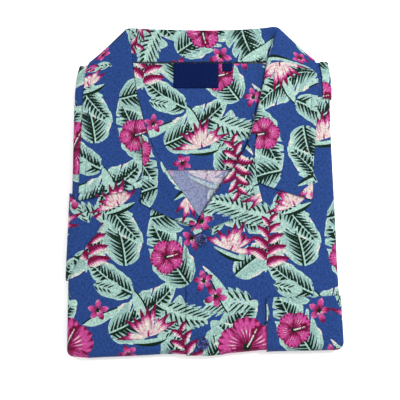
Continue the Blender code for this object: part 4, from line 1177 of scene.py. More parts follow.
def buttonhole_bars(top, x, y):
    """Short runs of thread, close together either side of an upright buttonhole."""
    bars = []
    for row in run_on(top, ((x, y - BUTTONHOLE_REACH), (x, y + BUTTONHOLE_REACH)), 0.45):
        for side in (-1.0, 1.0):
            bar = np.stack((row, row))
            bar[:, 0] += side * np.array((0.2, 1.1))
            bars.append(bar)
    return bars


# ---------------------------------------------------------------- fronts and what lies on them


def neck_edge(side, y):
    """x of a front's cut edge: beside the lapel's roll, then along the neck seam."""
    roll = ROLLS[side]
    slope = (line_x(roll, y + 4.0) - line_x(roll, y - 4.0)) / 8.0
    turned_out = (FACING_ROLL + 0.5 * CLOTH + 3.0 * GAP) * np.hypot(1.0, slope)
    by_roll = line_x(roll, y) + side * turned_out * smoothstep(*TURN_START[side], y)
    by_seam = line_x(SEAMS[side], y) + side * 3.0 * GAP
    return by_roll + (by_seam - by_roll) * smoothstep(54.0, 63.0, y)


def row_set(shoulder=(), shares=(), turns=(), tail=()):
    """Rows of share, turn and end: round the shoulder end, down the body, round the
    hairpin and back under the tail. Angles are in degrees."""
    quarter = 0.5 * math.pi
    rows = [(0.0, 0.0, math.radians(angle)) for angle in shoulder]
    rows += [(share, 0.0, quarter) for share in shares]
    rows += [(1.0, math.radians(turn), quarter) for turn in turns]
    rows += [(share, math.pi, quarter) for share in tail]
    return np.array(rows)


def side_rolls(last_angle, count):
    """Depths round the side's roll, down to an angle from its top."""
    return -SIDE_ROLL_PER_RADIAN * np.radians(last_angle) * (np.arange(count) + 1) / count


def on_stack(side, depth, rows, lift, thick):
    """Top and bottom grids of a wall on the stack, and its flat cut."""
    top = stack_point(side, depth, rows, lift + CLOTH)
    bottom = stack_point(side, depth, rows, lift + CLOTH - thick)
    return top, bottom, stack_cut(side, depth, rows, lift)


def front_grids(side):
    grid = sizes().grid / MM
    rows = row_set(
        np.linspace(24.0, 90.0, 6)[:-1],
        np.linspace(0.0, 1.0, int(BODY_LENGTH / (1.02 * grid))),
        np.linspace(0.0, 180.0, 18)[1:-1],
        np.linspace(1.0, TAIL_HEM_SHARE, 70),
    )
    share, turn = rows[:, 0], rows[:, 1]
    edge_x = neck_edge(side, row_y(share, 0.0))
    edge_x = neck_edge(side, row_y(share, edge_x))
    edge = side_limit(side, row_y(share, 0.0)) - side * edge_x
    if side < 0:
        tucked = smoothstep(10.0, LAP_TURN - 5.0, np.degrees(turn))
        edge -= tucked * (UNDER_LAP_EDGE - LEFT_ROLL[0, 0] + 2.0 * GAP)
    inward = np.linspace(0.012, 1.0, int(FRONT_WIDTH / (1.08 * grid)))
    shares = np.concatenate(((0.0, 0.003, 0.007), inward))
    depth = edge[:, None] * (1.0 - shares)
    depth = np.hstack((depth, np.tile(side_rolls(128.0, 9), (len(rows), 1))))
    x = side * (side_limit(side, row_y(share, 0.0))[:, None] - depth)
    y = row_y(share[:, None], x)
    lift = np.full(depth.shape, ON_STACK)
    if side > 0:
        lift = lift + np.where(depth > 0.0, lap_lift(x, y, turn[:, None]), 0.0)
        body = (turn < 0.5)[:, None] * (depth > 0.0)
        lift = lift + body * np.where(y < -50.0, groove(x, y, placket_path(-58.0, -198.0)), 0.0)
        free_edge = np.exp(-(((depth - edge[:, None]) / 5.0) ** 2)) * smoothstep(-58.0, -70.0, y)
        lift = lift + 0.8 * free_edge * (turn < 1.2)[:, None]
    return on_stack(side, depth, rows, lift, sizes().shell / MM)


def placket_path(high_y, low_y):
    return np.array(((PLACKET_TOP_X + PLACKET_STITCH_IN, high_y), (-10.2, -120.0), (-10.0, low_y)))


def beside_roll(side, ys, reach):
    """Points `reach` out from a turned edge, and which way out is there."""
    line = np.array([(line_x(ROLLS[side], y), y) for y in ys])
    heading = np.gradient(line, axis=0)
    heading /= np.linalg.norm(heading, axis=1, keepdims=True)
    outward = side * heading[:, ::-1] * (1.0, -1.0)
    return line + outward * reach, outward


def rolled(centre, outward, base, radius, angle):
    """x, y, z, u, v of a point round a roll that starts from the height `base`."""
    bend = math.radians(angle)
    out, up = radius * math.cos(bend), radius * (1.0 + math.sin(bend))
    arc = radius * (0.5 * math.pi - bend)
    return (*(centre - outward * out), base + up, *(centre - outward * arc))


def facing_grids(side):
    """A front's turned-out facing: rolled at the neck edge and laid flat on the front."""
    low, outer = LAPELS[side]
    ys = np.linspace(LAPEL_LOW_Y[side], LAPEL_TOP_Y, 15)
    centre, outward = beside_roll(side, ys, FACING_ROLL + 0.5 * CLOTH)
    shares = (0.0, 0.05, 0.11, 0.18, 0.27, 0.38, 0.5, 0.64, 0.8, 0.93, 1.0)
    start = spaced(np.vstack((centre[0], low)), shares)
    end = spaced(outer, np.linspace(0.0, 1.0, len(ys)))
    flat = coons(start, spaced((centre[-1], end[-1]), shares), centre, end)

    def lying_z(x, y, raised=0.0):
        lying = ON_STACK + 0.5 * CLOTH + (lap_lift(x, y) if side > 0 else 0.0)
        return surface_z(x, y, lying + raised)

    rows = []
    for k, (cx, cy) in enumerate(centre):
        base = lying_z(cx, cy)
        row = [rolled(centre[k], outward[k], base, FACING_ROLL, angle) for angle in FACING_ANGLES]
        for x, y in flat[k]:
            near = 1.0 - smoothstep(0.0, PUFF_REACH, math.hypot(x - cx, y - cy))
            raised = LAYER + 0.25 + (2.0 * FACING_ROLL - LAYER - 0.25) * near
            row.append((x, y, lying_z(x, y, raised), x, y))
        rows.append(row)
    return both_faces(np.array(rows, float), np.array(low[1:] + outer[1:4]), side)


def both_faces(rows, free_edge, side):
    """Fine top and bottom grids either side of a coarse middle grid of x, y, z, u, v, with
    topstitching along its free edge."""
    grid = sizes().grid / MM
    rows = refined(refined(rows, grid, 0), grid, 1)
    middle, cut = rows[..., :3], rows[..., 3:5]
    normals = grid_normals(middle)
    lying = normals * np.sign(np.median(normals[..., 2]))
    seam = inset_path(free_edge, side * sizes().topstitch_inset / MM)
    on_top = smoothstep(0.2, 0.6, lying[..., 2])
    pulled = (groove(middle[..., 0], middle[..., 1], seam) + edge_lift(middle, free_edge)) * on_top
    waves = 0.18 * np.sin(middle[..., 0] / 9.0 + 1.7 * np.sin(middle[..., 1] / 23.0)) * on_top
    top = middle + lying * (0.5 * CLOTH + pulled + waves)[..., None]
    bottom = top - lying * min(CLOTH, sizes().shell / MM * 1.5)
    return top, bottom, cut, seam


def edge_lift(points, free_edge):
    """How far a free edge springs up from what it lies on."""
    off, place = path_distance(points[..., 0], points[..., 1], free_edge)
    return EDGE_LIFT * (0.8 + 0.2 * np.sin(23.0 * place)) * np.exp(-((off / EDGE_REACH) ** 2))


def pocket_grids():
    top_share = share_of(POCKET_TOP_Y, POCKET_MIDDLE_X)
    rows = row_set((), np.linspace(top_share, 1.0, 62), np.linspace(0.0, 100.0, 11)[1:])
    share = rows[:, 0]
    inner = side_limit(1, row_y(share, 0.0)) - POCKET_LEFT_X
    shares = np.concatenate(((0.0, 0.008, 0.02), np.linspace(0.03, 1.0, 84)))
    depth = np.hstack((inner[:, None] * (1.0 - shares), np.tile(side_rolls(104.0, 8), (len(rows), 1))))
    x = side_limit(1, row_y(share, 0.0))[:, None] - depth
    y = row_y(share[:, None], x)
    edge_off = inner[:, None] - depth
    lift = np.full(depth.shape, ROUND_FRONT)
    lift = lift + groove(x, y, pocket_stitch_path()) + groove(x, y, pocket_hem_path(), 0.12)
    lift = lift + 0.5 * np.exp(-((edge_off / 3.0) ** 2))
    return on_stack(1, depth, rows, lift, 1.5 * sizes().shell / MM)


def pocket_stitch_path():
    return np.array(((POCKET_LEFT_X + 1.8, POCKET_TOP_Y - 1.0), (POCKET_LEFT_X + 1.8, -192.0)))


def pocket_hem_path():
    return np.array(((POCKET_LEFT_X + 1.0, POCKET_TOP_Y - 22.0), (161.0, POCKET_TOP_Y - 20.0)))


def right_sleeve_grids():
    """Corner of the right sleeve, folded round the side onto the front."""
    above, below = np.linspace(-10.0, SLEEVE_APEX_Y, 36), np.linspace(SLEEVE_APEX_Y, -113.5, 72)
    ys = np.concatenate((above[:-1], below))
    rows = row_set((), share_of(ys, SIDE_EDGES[4, 1]))
    y = row_y(rows[:, 0], 0.0)
    free = side_limit(-1, y) + np.interp(y, SLEEVE_EDGE[:, 0], SLEEVE_EDGE[:, 1])
    strip = 0.5 + (SLEEVE_STRIP - 0.5) * smoothstep(SLEEVE_APEX_Y + 4.0, SLEEVE_APEX_Y - 12.0, y)
    last = -SIDE_ROLL_PER_RADIAN * math.radians(124.0)
    start = free - strip - 0.5
    under = [start + (last - start) * part for part in np.linspace(0.0, 1.0, 50)]
    depth = np.column_stack((free, free - 0.5 * strip, free - strip, *under))
    upper = CLOTH * smoothstep(1.2, 2.6, np.arange(depth.shape[1]))[None, :]
    lift = ROUND_FRONT + upper + 0.0 * depth
    return on_stack(-1, depth, rows, lift, 1.2 + upper)


def left_sleeve_grids():
    """Edge of the left sleeve's cap, folded round the side at the shoulder."""
    low = share_of(LEFT_SLEEVE_END_Y)
    rows = row_set(np.linspace(55.0, 90.0, 5)[:-1], np.linspace(0.0, low, 36))
    line = np.concatenate((np.linspace(LEFT_SLEEVE_DEPTH, 0.0, 6), side_rolls(120.0, 10)))
    depth = np.tile(line, (len(rows), 1))
    return on_stack(1, depth, rows, np.full(depth.shape, ROUND_FRONT), sizes().shell / MM)


# ---------------------------------------------------------------- inside the neck


def patch(ys, across, lift, thick, wall=CLOTH):
    """Grids of a flat piece laid on the body's stack."""
    y = np.repeat(ys[:, None], across.shape[1], axis=1)
    rise = lift(across, y) + wall
    top = np.stack((across, y, surface_z(across, y, rise)), axis=2)
    bottom = np.stack((across, y, surface_z(across, y, rise - thick)), axis=2)
    return top, bottom, np.stack((across, y), axis=2)


def neck_span(ys, columns):
    """x positions between the turned edges in each row."""
    held = np.maximum(ys, -37.0)
    left = line_x(RIGHT_ROLL, held) + NECK_CLEAR
    right = line_x(LEFT_ROLL, held) - NECK_CLEAR + 0.5 * SHADE_SLOT * slot_share(ys)
    shares = np.linspace(0.0, 1.0, columns)
    return left[:, None] + (right - left)[:, None] * (shares - 0.08 * np.sin(2.0 * math.pi * shares))


def inner_waves(x, y):
    """Soft drag lines inside the neck."""
    drag = 0.22 * np.sin(x / 6.5 + 1.1 * np.sin(y / 17.0)) * smoothstep(-10.0, 40.0, y)
    return (drag + 0.18 * np.sin(y / 11.0 + x / 23.0)) * neck_mask(x, y)


def back_panel_grids():
    def lift(x, y):
        pleat = PLEAT_RISE * (1.0 - smoothstep(PLEAT_X - 0.3, PLEAT_X + 0.3, x))
        fold = 0.9 * np.exp(-(((x - PLEAT_X - 0.9) / 0.7) ** 2))
        return ON_STACK + pleat - fold + 0.6 * inner_waves(x, y)

    ys = np.linspace(BACK_LOW_Y, BACK_TUCK_Y, 72)
    across = neck_span(ys, 130)
    nearest = PLEAT_X + (across - PLEAT_X) * (1.0 - 0.6 * np.exp(-(((across - PLEAT_X) / 7.0) ** 2)))
    reach = smoothstep(4.0, 12.0, across[:, -1] - PLEAT_X)[:, None]
    return patch(ys, across + (nearest - across) * reach, lift, sizes().shell / MM)


def yoke_hem_path(low_x=-60.0, high_x=60.0):
    return np.array(((low_x, YOKE_HEM_Y + 2.0), (high_x, YOKE_HEM_Y + 2.0)))


def yoke_lining_grids():
    def lift(x, y):
        over_back = 1.0 - smoothstep(BACK_TUCK_Y + 1.0, BACK_TUCK_Y + 14.0, y)
        over_pleat = PLEAT_RISE * smoothstep(PLEAT_X + 9.0, PLEAT_X, x)
        hem = groove(x, y, yoke_hem_path(), 0.22)
        return ON_STACK + (LAYER + over_pleat) * over_back + inner_waves(x, y) + hem

    ys = np.concatenate(((YOKE_HEM_Y, YOKE_HEM_Y + 0.5), np.linspace(YOKE_HEM_Y + 1.2, YOKE_TOP_Y, 144)))
    return patch(ys, neck_span(ys, 160), lift, sizes().shell / MM)


def back_yoke_grids():
    rows = row_set(np.linspace(12.0, -35.0, 14))
    tops, bottoms, cuts = [], [], []
    for side in (-1, 1):
        reach = np.linspace(104.0, 0.0, 82)[: 82 if side < 0 else 81]
        depth = side_limit(side, row_y(rows[:, 0], 0.0))[:, None] - reach
        grids = on_stack(side, depth, rows, np.full(depth.shape, ON_STACK), sizes().shell / MM)
        for store, values in zip((tops, bottoms, cuts), grids):
            store.append(values if side < 0 else values[:, ::-1])
    return tuple(np.concatenate(pair, axis=1) for pair in (tops, bottoms, cuts))


def close_at_ends(low, high, count):
    """Positions from low to high that lie closer together at both ends."""
    margin = np.array((0.0, 0.35, 0.8))
    return np.concatenate((low + margin, np.linspace(low + 1.4, high - 1.4, count), high - margin[::-1]))


def label_grids(low_x, high_x, low_y, high_y):
    """A woven label with folded ends, sewn down at its top."""
    xs, ys = close_at_ends(low_x, high_x, 44), close_at_ends(low_y, high_y, 26)

    def lift(x, y):
        side = np.minimum(np.minimum(x - low_x, high_x - x), y - low_y)
        curl = 0.35 * smoothstep(high_y - 4.0, low_y, y) * (0.6 + 0.4 * np.sin(x / 8.0))
        return ON_FRONT + curl - 0.55 * (1.0 - smoothstep(0.0, 1.0, side)) + inner_waves(x, y)

    return patch(ys, np.tile(xs, (len(ys), 1)), lift, 0.8, LABEL_CLOTH)


# ---------------------------------------------------------------- collar


def front_fall_rows(side):
    """Collar stations from the gorge to the shoulder, as x, y, z, u, v."""
    low, outer = FALLS[side]
    ys = np.linspace(COLLAR_END_Y, COLLAR_TOP_Y, 10)
    centre, outward = beside_roll(side, ys, COLLAR_ROLL + 0.5 * COLLAR_CLOTH)
    end = spaced(outer, np.linspace(0.0, 1.0, len(ys)))
    high = spaced((centre[-1], end[-1]), FALL_SHARES)
    flat = coons(np.vstack((centre[0], low)), high, centre, end)
    lying = ON_STACK + 0.5 * COLLAR_CLOTH
    rows = []
    for k, (cx, cy) in enumerate(centre):
        base = surface_z(cx, cy, lying)
        seam_x = line_x(SEAMS[side], ys[k])
        seam_point = np.array((seam_x, cy, surface_z(seam_x, cy, lying)))
        stand = np.array((cx, cy, base)) - seam_point
        row = []
        for share in (0.0, 0.5, 0.8):
            arc = COLLAR_ROLL * math.pi + (1.0 - share) * np.linalg.norm(stand)
            row.append((*(seam_point + stand * share), *(centre[k] - outward[k] * arc)))
        row += [rolled(centre[k], outward[k], base, COLLAR_ROLL, angle) for angle in ROLL_ANGLES]
        for x, y in flat[k][1:]:
            near = 1.0 - smoothstep(0.0, 1.6 * PUFF_REACH, math.hypot(x - cx, y - cy))
            raised = LAYER + (2.0 * COLLAR_ROLL - LAYER) * near
            row.append((x, y, surface_z(x, y, lying + raised), x, y))
        rows.append(row)
    return np.array(rows, float)


def turning_row(station, side):
    """One collar station in which the roll's plane is turned by the twist."""
    seam, roll, edge = (np.array(station[k : k + 3]) for k in (0, 3, 6))
    heading, twist = (math.radians(value) for value in station[9:11])
    inward = np.array((math.cos(heading), math.sin(heading), 0.0))
    outward = np.array((-side * math.sin(heading), side * math.cos(heading), 0.0))
    to_fall = np.array((0.0, 0.0, math.cos(twist))) + outward * math.sin(twist)
    centre = roll + inward * (COLLAR_ROLL + 0.5 * COLLAR_CLOTH)
    start = centre - to_fall * COLLAR_ROLL
    down = np.array((0.0, 0.0, station[11]))
    points = [seam, seam + 0.5 * (start - seam) - 0.7 * down, seam + 0.8 * (start - seam) - down]
    for angle in ROLL_ANGLES:
        bend = math.radians(angle)
        points.append(centre + COLLAR_ROLL * (to_fall * math.sin(bend) - inward * math.cos(bend)))
    finish = points[-1]
    points += [finish + (edge - finish) * share for share in FALL_SHARES[1:]]
    return points


def collar_grids():
    """The whole collar: right fall, round the back, left fall."""
    stations = np.array(RIGHT_TURN + (BACK_MIDDLE,) + tuple(reversed(LEFT_TURN)), float)
    stations = smooth_line(stations, 2)
    middle = len(stations) // 2
    turning = np.array([turning_row(row, -1 if k < middle else 1) for k, row in enumerate(stations)])
    right, left = front_fall_rows(-1), front_fall_rows(1)[::-1]

    fall_start = 2 + len(ROLL_ANGLES)
    roll_line = np.vstack((right[-1, fall_start, :3], turning[:, fall_start], left[0, fall_start, :3]))
    along = lengths_along(roll_line)
    steps = np.linalg.norm(np.diff(turning, axis=1), axis=2)
    across = np.hstack((np.zeros((len(turning), 1)), np.cumsum(steps, axis=1)))
    across -= across[:, fall_start : fall_start + 1]
    u0, v0 = right[-1, fall_start, 3:5]
    band = np.stack((u0 - across, np.repeat((v0 + along[1:-1])[:, None], across.shape[1], axis=1)), axis=2)
    left_end = left[0, fall_start, 3:5].copy()
    left[..., 3] = u0 + left_end[0] - left[..., 3]
    left[..., 4] = v0 + along[-1] + left_end[1] - left[..., 4]
    turning = np.concatenate((turning, band), axis=2)
    rows = np.concatenate((right, turning, left))

    grid = sizes().grid / MM
    rows = refined(refined(rows, grid, 0), grid, 1)
    middle_face, cut = rows[..., :3], rows[..., 3:5]
    normals = grid_normals(middle_face)
    fall = middle_face[: len(middle_face) // 6, -20:]
    normals *= np.sign(np.median(grid_normals(fall)[..., 2]))
    x, y = middle_face[..., 0], middle_face[..., 1]
    on_top = smoothstep(0.3, 0.7, normals[..., 2]) * smoothstep(150.0, 120.0, y)
    pulled = sum(groove(x, y, seam) for seam in collar_stitch_paths())
    pulled = (pulled + sum(edge_lift(middle_face, edge) for edge in collar_free_edges())) * on_top
    waves = 0.30 * np.sin(x / 12.0 + 1.4 * np.sin(y / 26.0)) * np.sin(y / 21.0) * on_top
    top = middle_face + normals * (0.5 * COLLAR_CLOTH + pulled + waves)[..., None]
    bottom = top - normals * COLLAR_CLOTH
    return top, bottom, cut


def collar_free_edges():
    """The fall's edges in front, from the notch round the tip to the shoulder."""
    return [np.array(low[3:] + outer[1:]) for low, outer in FALLS.values()]


def collar_stitch_paths():
    inset = sizes().topstitch_inset / MM
    return [inset_path(edge, side * inset) for side, edge in zip(FALLS, collar_free_edges())]


# ---------------------------------------------------------------- hidden layers


# How far each folded edge stands forward, and its share of the height, from the outer
# layer in
BODY_STEPS = (
    (0.0, 1.0), (1.9, 0.86), (2.4, 0.72), (1.3, 0.69), (2.6, 0.58), (2.6, 0.46), (1.3, 0.43),
    (2.2, 0.34), (1.8, 0.20), (0.9, 0.14),
)
TAIL_STEPS = (
    (0.0, 1.0), (1.2, 0.90), (1.8, 0.72), (0.4, 0.67), (2.6, 0.58), (2.6, 0.40), (0.8, 0.35),
    (1.8, 0.24), (1.2, 0.10),
)


def folded_rings():
    """Closed rings of the folded layers, from the shoulder round the hairpin to the
    tail's end, with how many belong to its top, rolls and inner face."""
    rows = row_set(
        (),
        np.concatenate(((0.0, 0.04, TAIL_SHARE), np.linspace(0.13, 1.0, 44))),
        np.linspace(0.0, 180.0, 14)[1:-1],
        np.concatenate((np.linspace(1.0, 0.13, 30), (TAIL_SHARE,))),
    )
    rolls = -SIDE_ROLL_PER_RADIAN * np.radians(np.linspace(0.0, 150.0, 9)[1:])
    rolls = np.tile(rolls, (len(rows), 1))
    y = row_y(rows[:, 0], 0.0)
    left, right = side_limit(-1, y)[:, None], side_limit(1, y)[:, None]
    x = -left + (left + right) * np.linspace(0.0, 1.0, 110)
    over_left = stack_point(-1, np.maximum(left + x, 0.0), rows, -HIDDEN_DROP)
    over_right = stack_point(1, np.maximum(right - x, 0.0), rows, -HIDDEN_DROP)
    over = np.where((x < 0.0)[..., None], over_left, over_right)
    inner_x = right - (left + right) * np.linspace(0.0, 1.0, 24)
    turn = rows[:, 1][:, None]
    inner_y = row_y(rows[:, :1], inner_x) - 0.5 * GAP * np.sin(turn)
    inner = np.stack((inner_x, inner_y, MID_PLANE + 0.5 * GAP * np.cos(turn) + 0.0 * inner_x), axis=2)
    sides = [stack_point(side, rolls, rows, -HIDDEN_DROP) for side in (-1, 1)]
    return np.concatenate((sides[0][:, ::-1], over, sides[1], inner), axis=1), rolls.shape[1], inner.shape[1]


def stepped(ring, creep, forward, share, roll_count, inner_count):
    """A ring moved forward and flattened towards its inner face. That face and the side
    rolls only creep forward."""
    inner = ring[-1]
    low, high = ring[-1, 0], ring[-inner_count, 0]
    flat = np.zeros(len(ring), bool)
    flat[roll_count : len(ring) - roll_count - inner_count] = True
    wander = 0.35 * np.sin(ring[:, 0] / 17.0 + 1.9 * creep) + 0.25 * np.sin(ring[:, 0] / 6.3 + 3.1 * creep)
    result = ring.copy()
    result[:, 1] += np.where(flat, forward + wander * (1.0 - share) * min(forward, 1.0), 0.08 * creep)
    result[:, 2] = inner[2] + (ring[:, 2] - inner[2]) * share
    result[:, 0] = np.where(ring[:, 0] < low, low + (ring[:, 0] - low) * share, result[:, 0])
    result[:, 0] = np.where(ring[:, 0] > high, high + (ring[:, 0] - high) * share, result[:, 0])
    return result


def folded_layers():
    """The hidden layers as one rounded solid, with each layer's fold at its ends."""
    rings, roll_count, inner_count = folded_rings()
    loop, shift = [], []
    for steps, ring, back in ((BODY_STEPS, rings[0], True), (TAIL_STEPS, rings[-1], False)):
        profile = smooth_line(steps, 4)[1:]
        end = [
            stepped(ring, 0.25 * (k + 1), *step, roll_count, inner_count)
            for k, step in enumerate(profile)
        ]
        layer = [1 + k // 12 for k in range(len(end))]
        loop += end[::-1] + list(rings) if back else end
        shift += layer[::-1] + [0] * len(rings) if back else layer
    loop = np.array(loop)
    count = loop.shape[1]
    index = np.arange(loop.shape[0] * count).reshape(-1, count)
    following = np.roll(index, -1, axis=1)
    sides = np.stack((index[:-1], index[1:], following[1:], following[:-1]), axis=2).reshape(-1, 4)
    faces = sides.tolist() + [index[0].tolist(), index[-1][::-1].tolist()]
    cut = loop[..., :2] + np.array(shift)[:, None, None] * (37.0, 61.0)
    cut[..., 1] += loop[..., 2]
    points = loop.reshape(-1, 3)
    return points, faces, cut.reshape(-1, 2)


# ---------------------------------------------------------------- buttons


def edit_part(piece, mode, chosen):
    """Enters edit mode and selects the faces or edges that `chosen` picks by centre."""
    bpy.context.view_layer.objects.active = piece
    bpy.ops.object.mode_set(mode="EDIT")
    bpy.ops.mesh.select_mode(type=mode)
    bpy.ops.mesh.select_all(action="DESELECT")
    shape = bmesh.from_edit_mesh(piece.data)
    for part in shape.faces if mode == "FACE" else shape.edges:
        centre = sum((vert.co for vert in part.verts), Vector()) / len(part.verts) / MM
        part.select_set(chosen(math.hypot(centre.x, centre.y), centre.z))
    bmesh.update_edit_mesh(piece.data)


def turned_button():
    """A button about the origin, standing on z = 0: dished, with a rounded rim and four
    holes."""
    bpy.ops.object.select_all(action="DESELECT")
    middle = (0.0, 0.0, 0.5 * BUTTON_THICK * MM)
    bpy.ops.mesh.primitive_cylinder_add(
        vertices=72, radius=BUTTON_RADIUS * MM, depth=BUTTON_THICK * MM, location=middle
    )
    button = bpy.context.active_object
    bpy.ops.object.transform_apply(location=True, rotation=True, scale=True)
    edit_part(button, "FACE", lambda radius, high: radius < 0.1 and high > BUTTON_THICK - 0.01)
    bpy.ops.mesh.inset(thickness=BUTTON_RIM * MM, depth=0.0)
    bpy.ops.mesh.inset(thickness=0.9 * MM, depth=-BUTTON_WELL_DEPTH * MM)
    bpy.ops.object.mode_set(mode="OBJECT")
    inner = BUTTON_RADIUS - BUTTON_RIM

    def outer_edge(radius, high):
        return radius > BUTTON_RADIUS - 0.1 and abs(high - 0.5 * BUTTON_THICK) > 1.0

    def well_edge(radius, high):
        beside = radius > inner - 0.2 or radius < inner - 0.8
        return 1.0 < radius < inner + 0.1 and high > 1.0 and beside

    edit_part(button, "EDGE", outer_edge)
    bpy.ops.mesh.bevel(offset=0.75 * MM, segments=4)
    bpy.ops.object.mode_set(mode="OBJECT")
    edit_part(button, "EDGE", well_edge)
    bpy.ops.mesh.bevel(offset=0.3 * MM, segments=3)
    bpy.ops.object.mode_set(mode="OBJECT")
    bpy.ops.object.select_all(action="DESELECT")
    holes = []
    for quarter in range(4):
        turn = math.radians(45.0 + 90.0 * quarter)
        offset = BUTTON_HOLE_OFFSET * MM
        bpy.ops.mesh.primitive_cylinder_add(
            vertices=24,
            radius=BUTTON_HOLE_RADIUS * MM,
            depth=0.01,
            location=(offset * math.cos(turn), offset * math.sin(turn), 0.0),
        )
        holes.append(bpy.context.active_object)
    for hole in holes:
        bpy.ops.object.select_all(action="DESELECT")
        button.select_set(True)
        bpy.context.view_layer.objects.active = button
        bpy.ops.object.modifier_add(type="BOOLEAN")
        button.modifiers[-1].object = hole
        bpy.ops.object.modifier_apply(modifier=button.modifiers[-1].name)
        bpy.data.objects.remove(hole)
    bpy.ops.object.shade_smooth_by_angle(angle=math.radians(38.0))
    # Where the painted highlight goes: 1 across the rim, 0.45 on the well floor and 0 elsewhere
    rim = button.data.attributes.new("rim", "FLOAT", "POINT")
    for vert, value in zip(button.data.vertices, rim.data):
        radius, high = math.hypot(vert.co.x, vert.co.y) / MM, vert.co.z / MM
        well = 0.45 * (radius < inner - 0.7 and high > 0.4 * BUTTON_THICK)
        value.value = 1.0 if inner - 0.1 < radius < BUTTON_RADIUS - 0.4 else well
    button.data.materials.append(bpy.data.materials["button resin"])
    return button


def thread_cross():
    """Two crossing pairs of thread through the holes of a button about the origin."""
    bpy.ops.object.select_all(action="DESELECT")
    strands = []
    for turn, aside in ((45.0, -0.2), (45.0, 0.2), (135.0, -0.2), (135.0, 0.2)):
        across = math.radians(turn + 90.0)
        bpy.ops.mesh.primitive_torus_add(
            major_segments=28,
            minor_segments=8,
            major_radius=BUTTON_HOLE_OFFSET * MM,
            minor_radius=0.21 * MM,
            rotation=(0.5 * math.pi, 0.0, math.radians(turn)),
            location=(
                aside * MM * math.cos(across),
                aside * MM * math.sin(across),
                (BUTTON_THICK - BUTTON_WELL_DEPTH - 0.35 + 0.12 * (turn > 90.0)) * MM,
            ),
        )
        strands.append(bpy.context.active_object)
    for strand in strands:
        strand.select_set(True)
    bpy.ops.object.join()
    bpy.ops.object.transform_apply(location=True, rotation=True, scale=True)
    cross = bpy.context.active_object
    edit_part(cross, "FACE", lambda radius, high: True)
    floor = (0.0, 0.0, (BUTTON_THICK - BUTTON_WELL_DEPTH) * MM)
    bpy.ops.transform.resize(value=(1.0, 1.0, 0.45), center_override=floor)
    bpy.ops.object.mode_set(mode="OBJECT")
    bpy.ops.object.shade_smooth()
    cross.data.materials.append(bpy.data.materials["sewing thread"])
    return cross


def copied(source, name, place):
    """A copy with its own mesh, moved to a place in its mesh."""
    piece = source.copy()
    piece.data = source.data.copy()
    piece.name = name
    piece.data.name = name
    for vert in piece.data.vertices:
        vert.co += Vector(place) * MM
    bpy.context.scene.collection.objects.link(piece)
    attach(piece, "root")
    return piece


# ---------------------------------------------------------------- stage


# Lamps: name, place and size in metres, and power. The camera leans from straight above.
LAMPS = (
    ("key light", (0.72, 0.40, 1.00), 0.22, 16.0),
    ("fill light", (-0.7, 0.6, 1.3), 1.2, 5.0),
)
WORLD_LIGHT = 1.17
FLOOR_Z = -0.0002
CAMERA_AIM = (-0.0024, -0.0181, 0.0170)
CAMERA_DISTANCE = 0.6
CAMERA_LEAN = 8.05
CAMERA_LENS = 45.0


def aimed(thing, place, aim):
    """A lamp or camera at a place, turned towards its aim."""
    stood = bpy.data.objects.new(thing.name, thing)
    stood.location = place
    stood.rotation_euler = (aim - stood.location).to_track_quat("-Z", "Y").to_euler()
    bpy.context.scene.collection.objects.link(stood)
    return stood


# ---------------------------------------------------------------- operators


class SHIRT_OT_layers(bpy.types.Operator):
    """Builds the hidden folded layers, with the layers' folds at their ends"""

    bl_idname = "shirt.layers"
    bl_label = "Folded layers"

    def execute(self, context):
        points, faces, cut = folded_layers()
        side = np.zeros(len(points))
        cut = laid_out(cut, 25.0, 40.0)
        piece = cloth_object("folded_layers_cloth", points, faces, cut, side, "print")
        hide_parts("folded_layers")
        return {"FINISHED"}


class SHIRT_OT_buttons(bpy.types.Operator):
    """Turns the four-hole buttons and sews them on"""

    bl_idname = "shirt.buttons"
    bl_label = "Buttons"

    def execute(self, context):
        button, cross = turned_button(), thread_cross()
        for name, x, y in BUTTONS:
            foot = surface_z(x, y, ON_STACK + LAYER + CLOTH + GAP) + 0.1
            piece = copied(button, name + "_turned", (x, y, foot))
            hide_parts(name)
            copied(cross, name + "_thread", (x, y, foot))
        for source in (button, cross):
            bpy.data.objects.remove(source)
        return {"FINISHED"}


class SHIRT_OT_materials(bpy.types.Operator):
    """Makes the cloth, label, button and thread materials"""

    bl_idname = "shirt.materials"
    bl_label = "Materials"

    def execute(self, context):
        make_print_group()
        make_weave_group()
        make_cloth_material()
        make_label_material()
        make_button_material()
        make_thread_material()
        return {"FINISHED"}


class SHIRT_OT_fronts(bpy.types.Operator):
    """Builds both fronts, with the placket's topstitching"""

    bl_idname = "shirt.fronts"
    bl_label = "Fronts"

    def execute(self, context):
        for side, name in ((-1, "right_front"), (1, "left_front")):
            grids = front_grids(side)
            sewn = {}
            if side > 0:
                bars = [bar for _, x, y in BUTTONS for bar in buttonhole_bars(grids[0], x, y)]
                sewn["placket_stitches"] = [run_on(grids[0], placket_path(-62.0, -197.0))]
                sewn["buttonhole_stitches"] = bars
            lay_sheet(name, grids, (), "folded", ["folded_layers"], sewn, step=2)
        return {"FINISHED"}


class SHIRT_OT_facings(bpy.types.Operator):
    """Builds the turned-out facings that make the lapels"""

    bl_idname = "shirt.facings"
    bl_label = "Lapels"

    def execute(self, context):
        for side, name, front, place in (
            (-1, "right_facing", "right_front", (96.0, -34.0, 172.0)),
            (1, "left_facing", "left_front", (20.0, 60.0, 186.0)),
        ):
            *grids, seam = facing_grids(side)
            sewn = {name + "_stitches": [run_on(grids[0], seam[1:-1])]}
            lay_sheet(name, grids, place, "folded", [front], sewn, step=2)
        return {"FINISHED"}


class SHIRT_OT_collar(bpy.types.Operator):
    """Builds the camp collar, with its topstitching"""

    bl_idname = "shirt.collar"
    bl_label = "Collar"

    def execute(self, context):
        grids = collar_grids()
        sewn = {"collar_stitches": [run_on(grids[0], path) for path in collar_stitch_paths()]}
        lay_sheet("collar", grids, (40.0, 88.0), "folded", ["right_front", "left_front"], sewn, step=2)
        return {"FINISHED"}


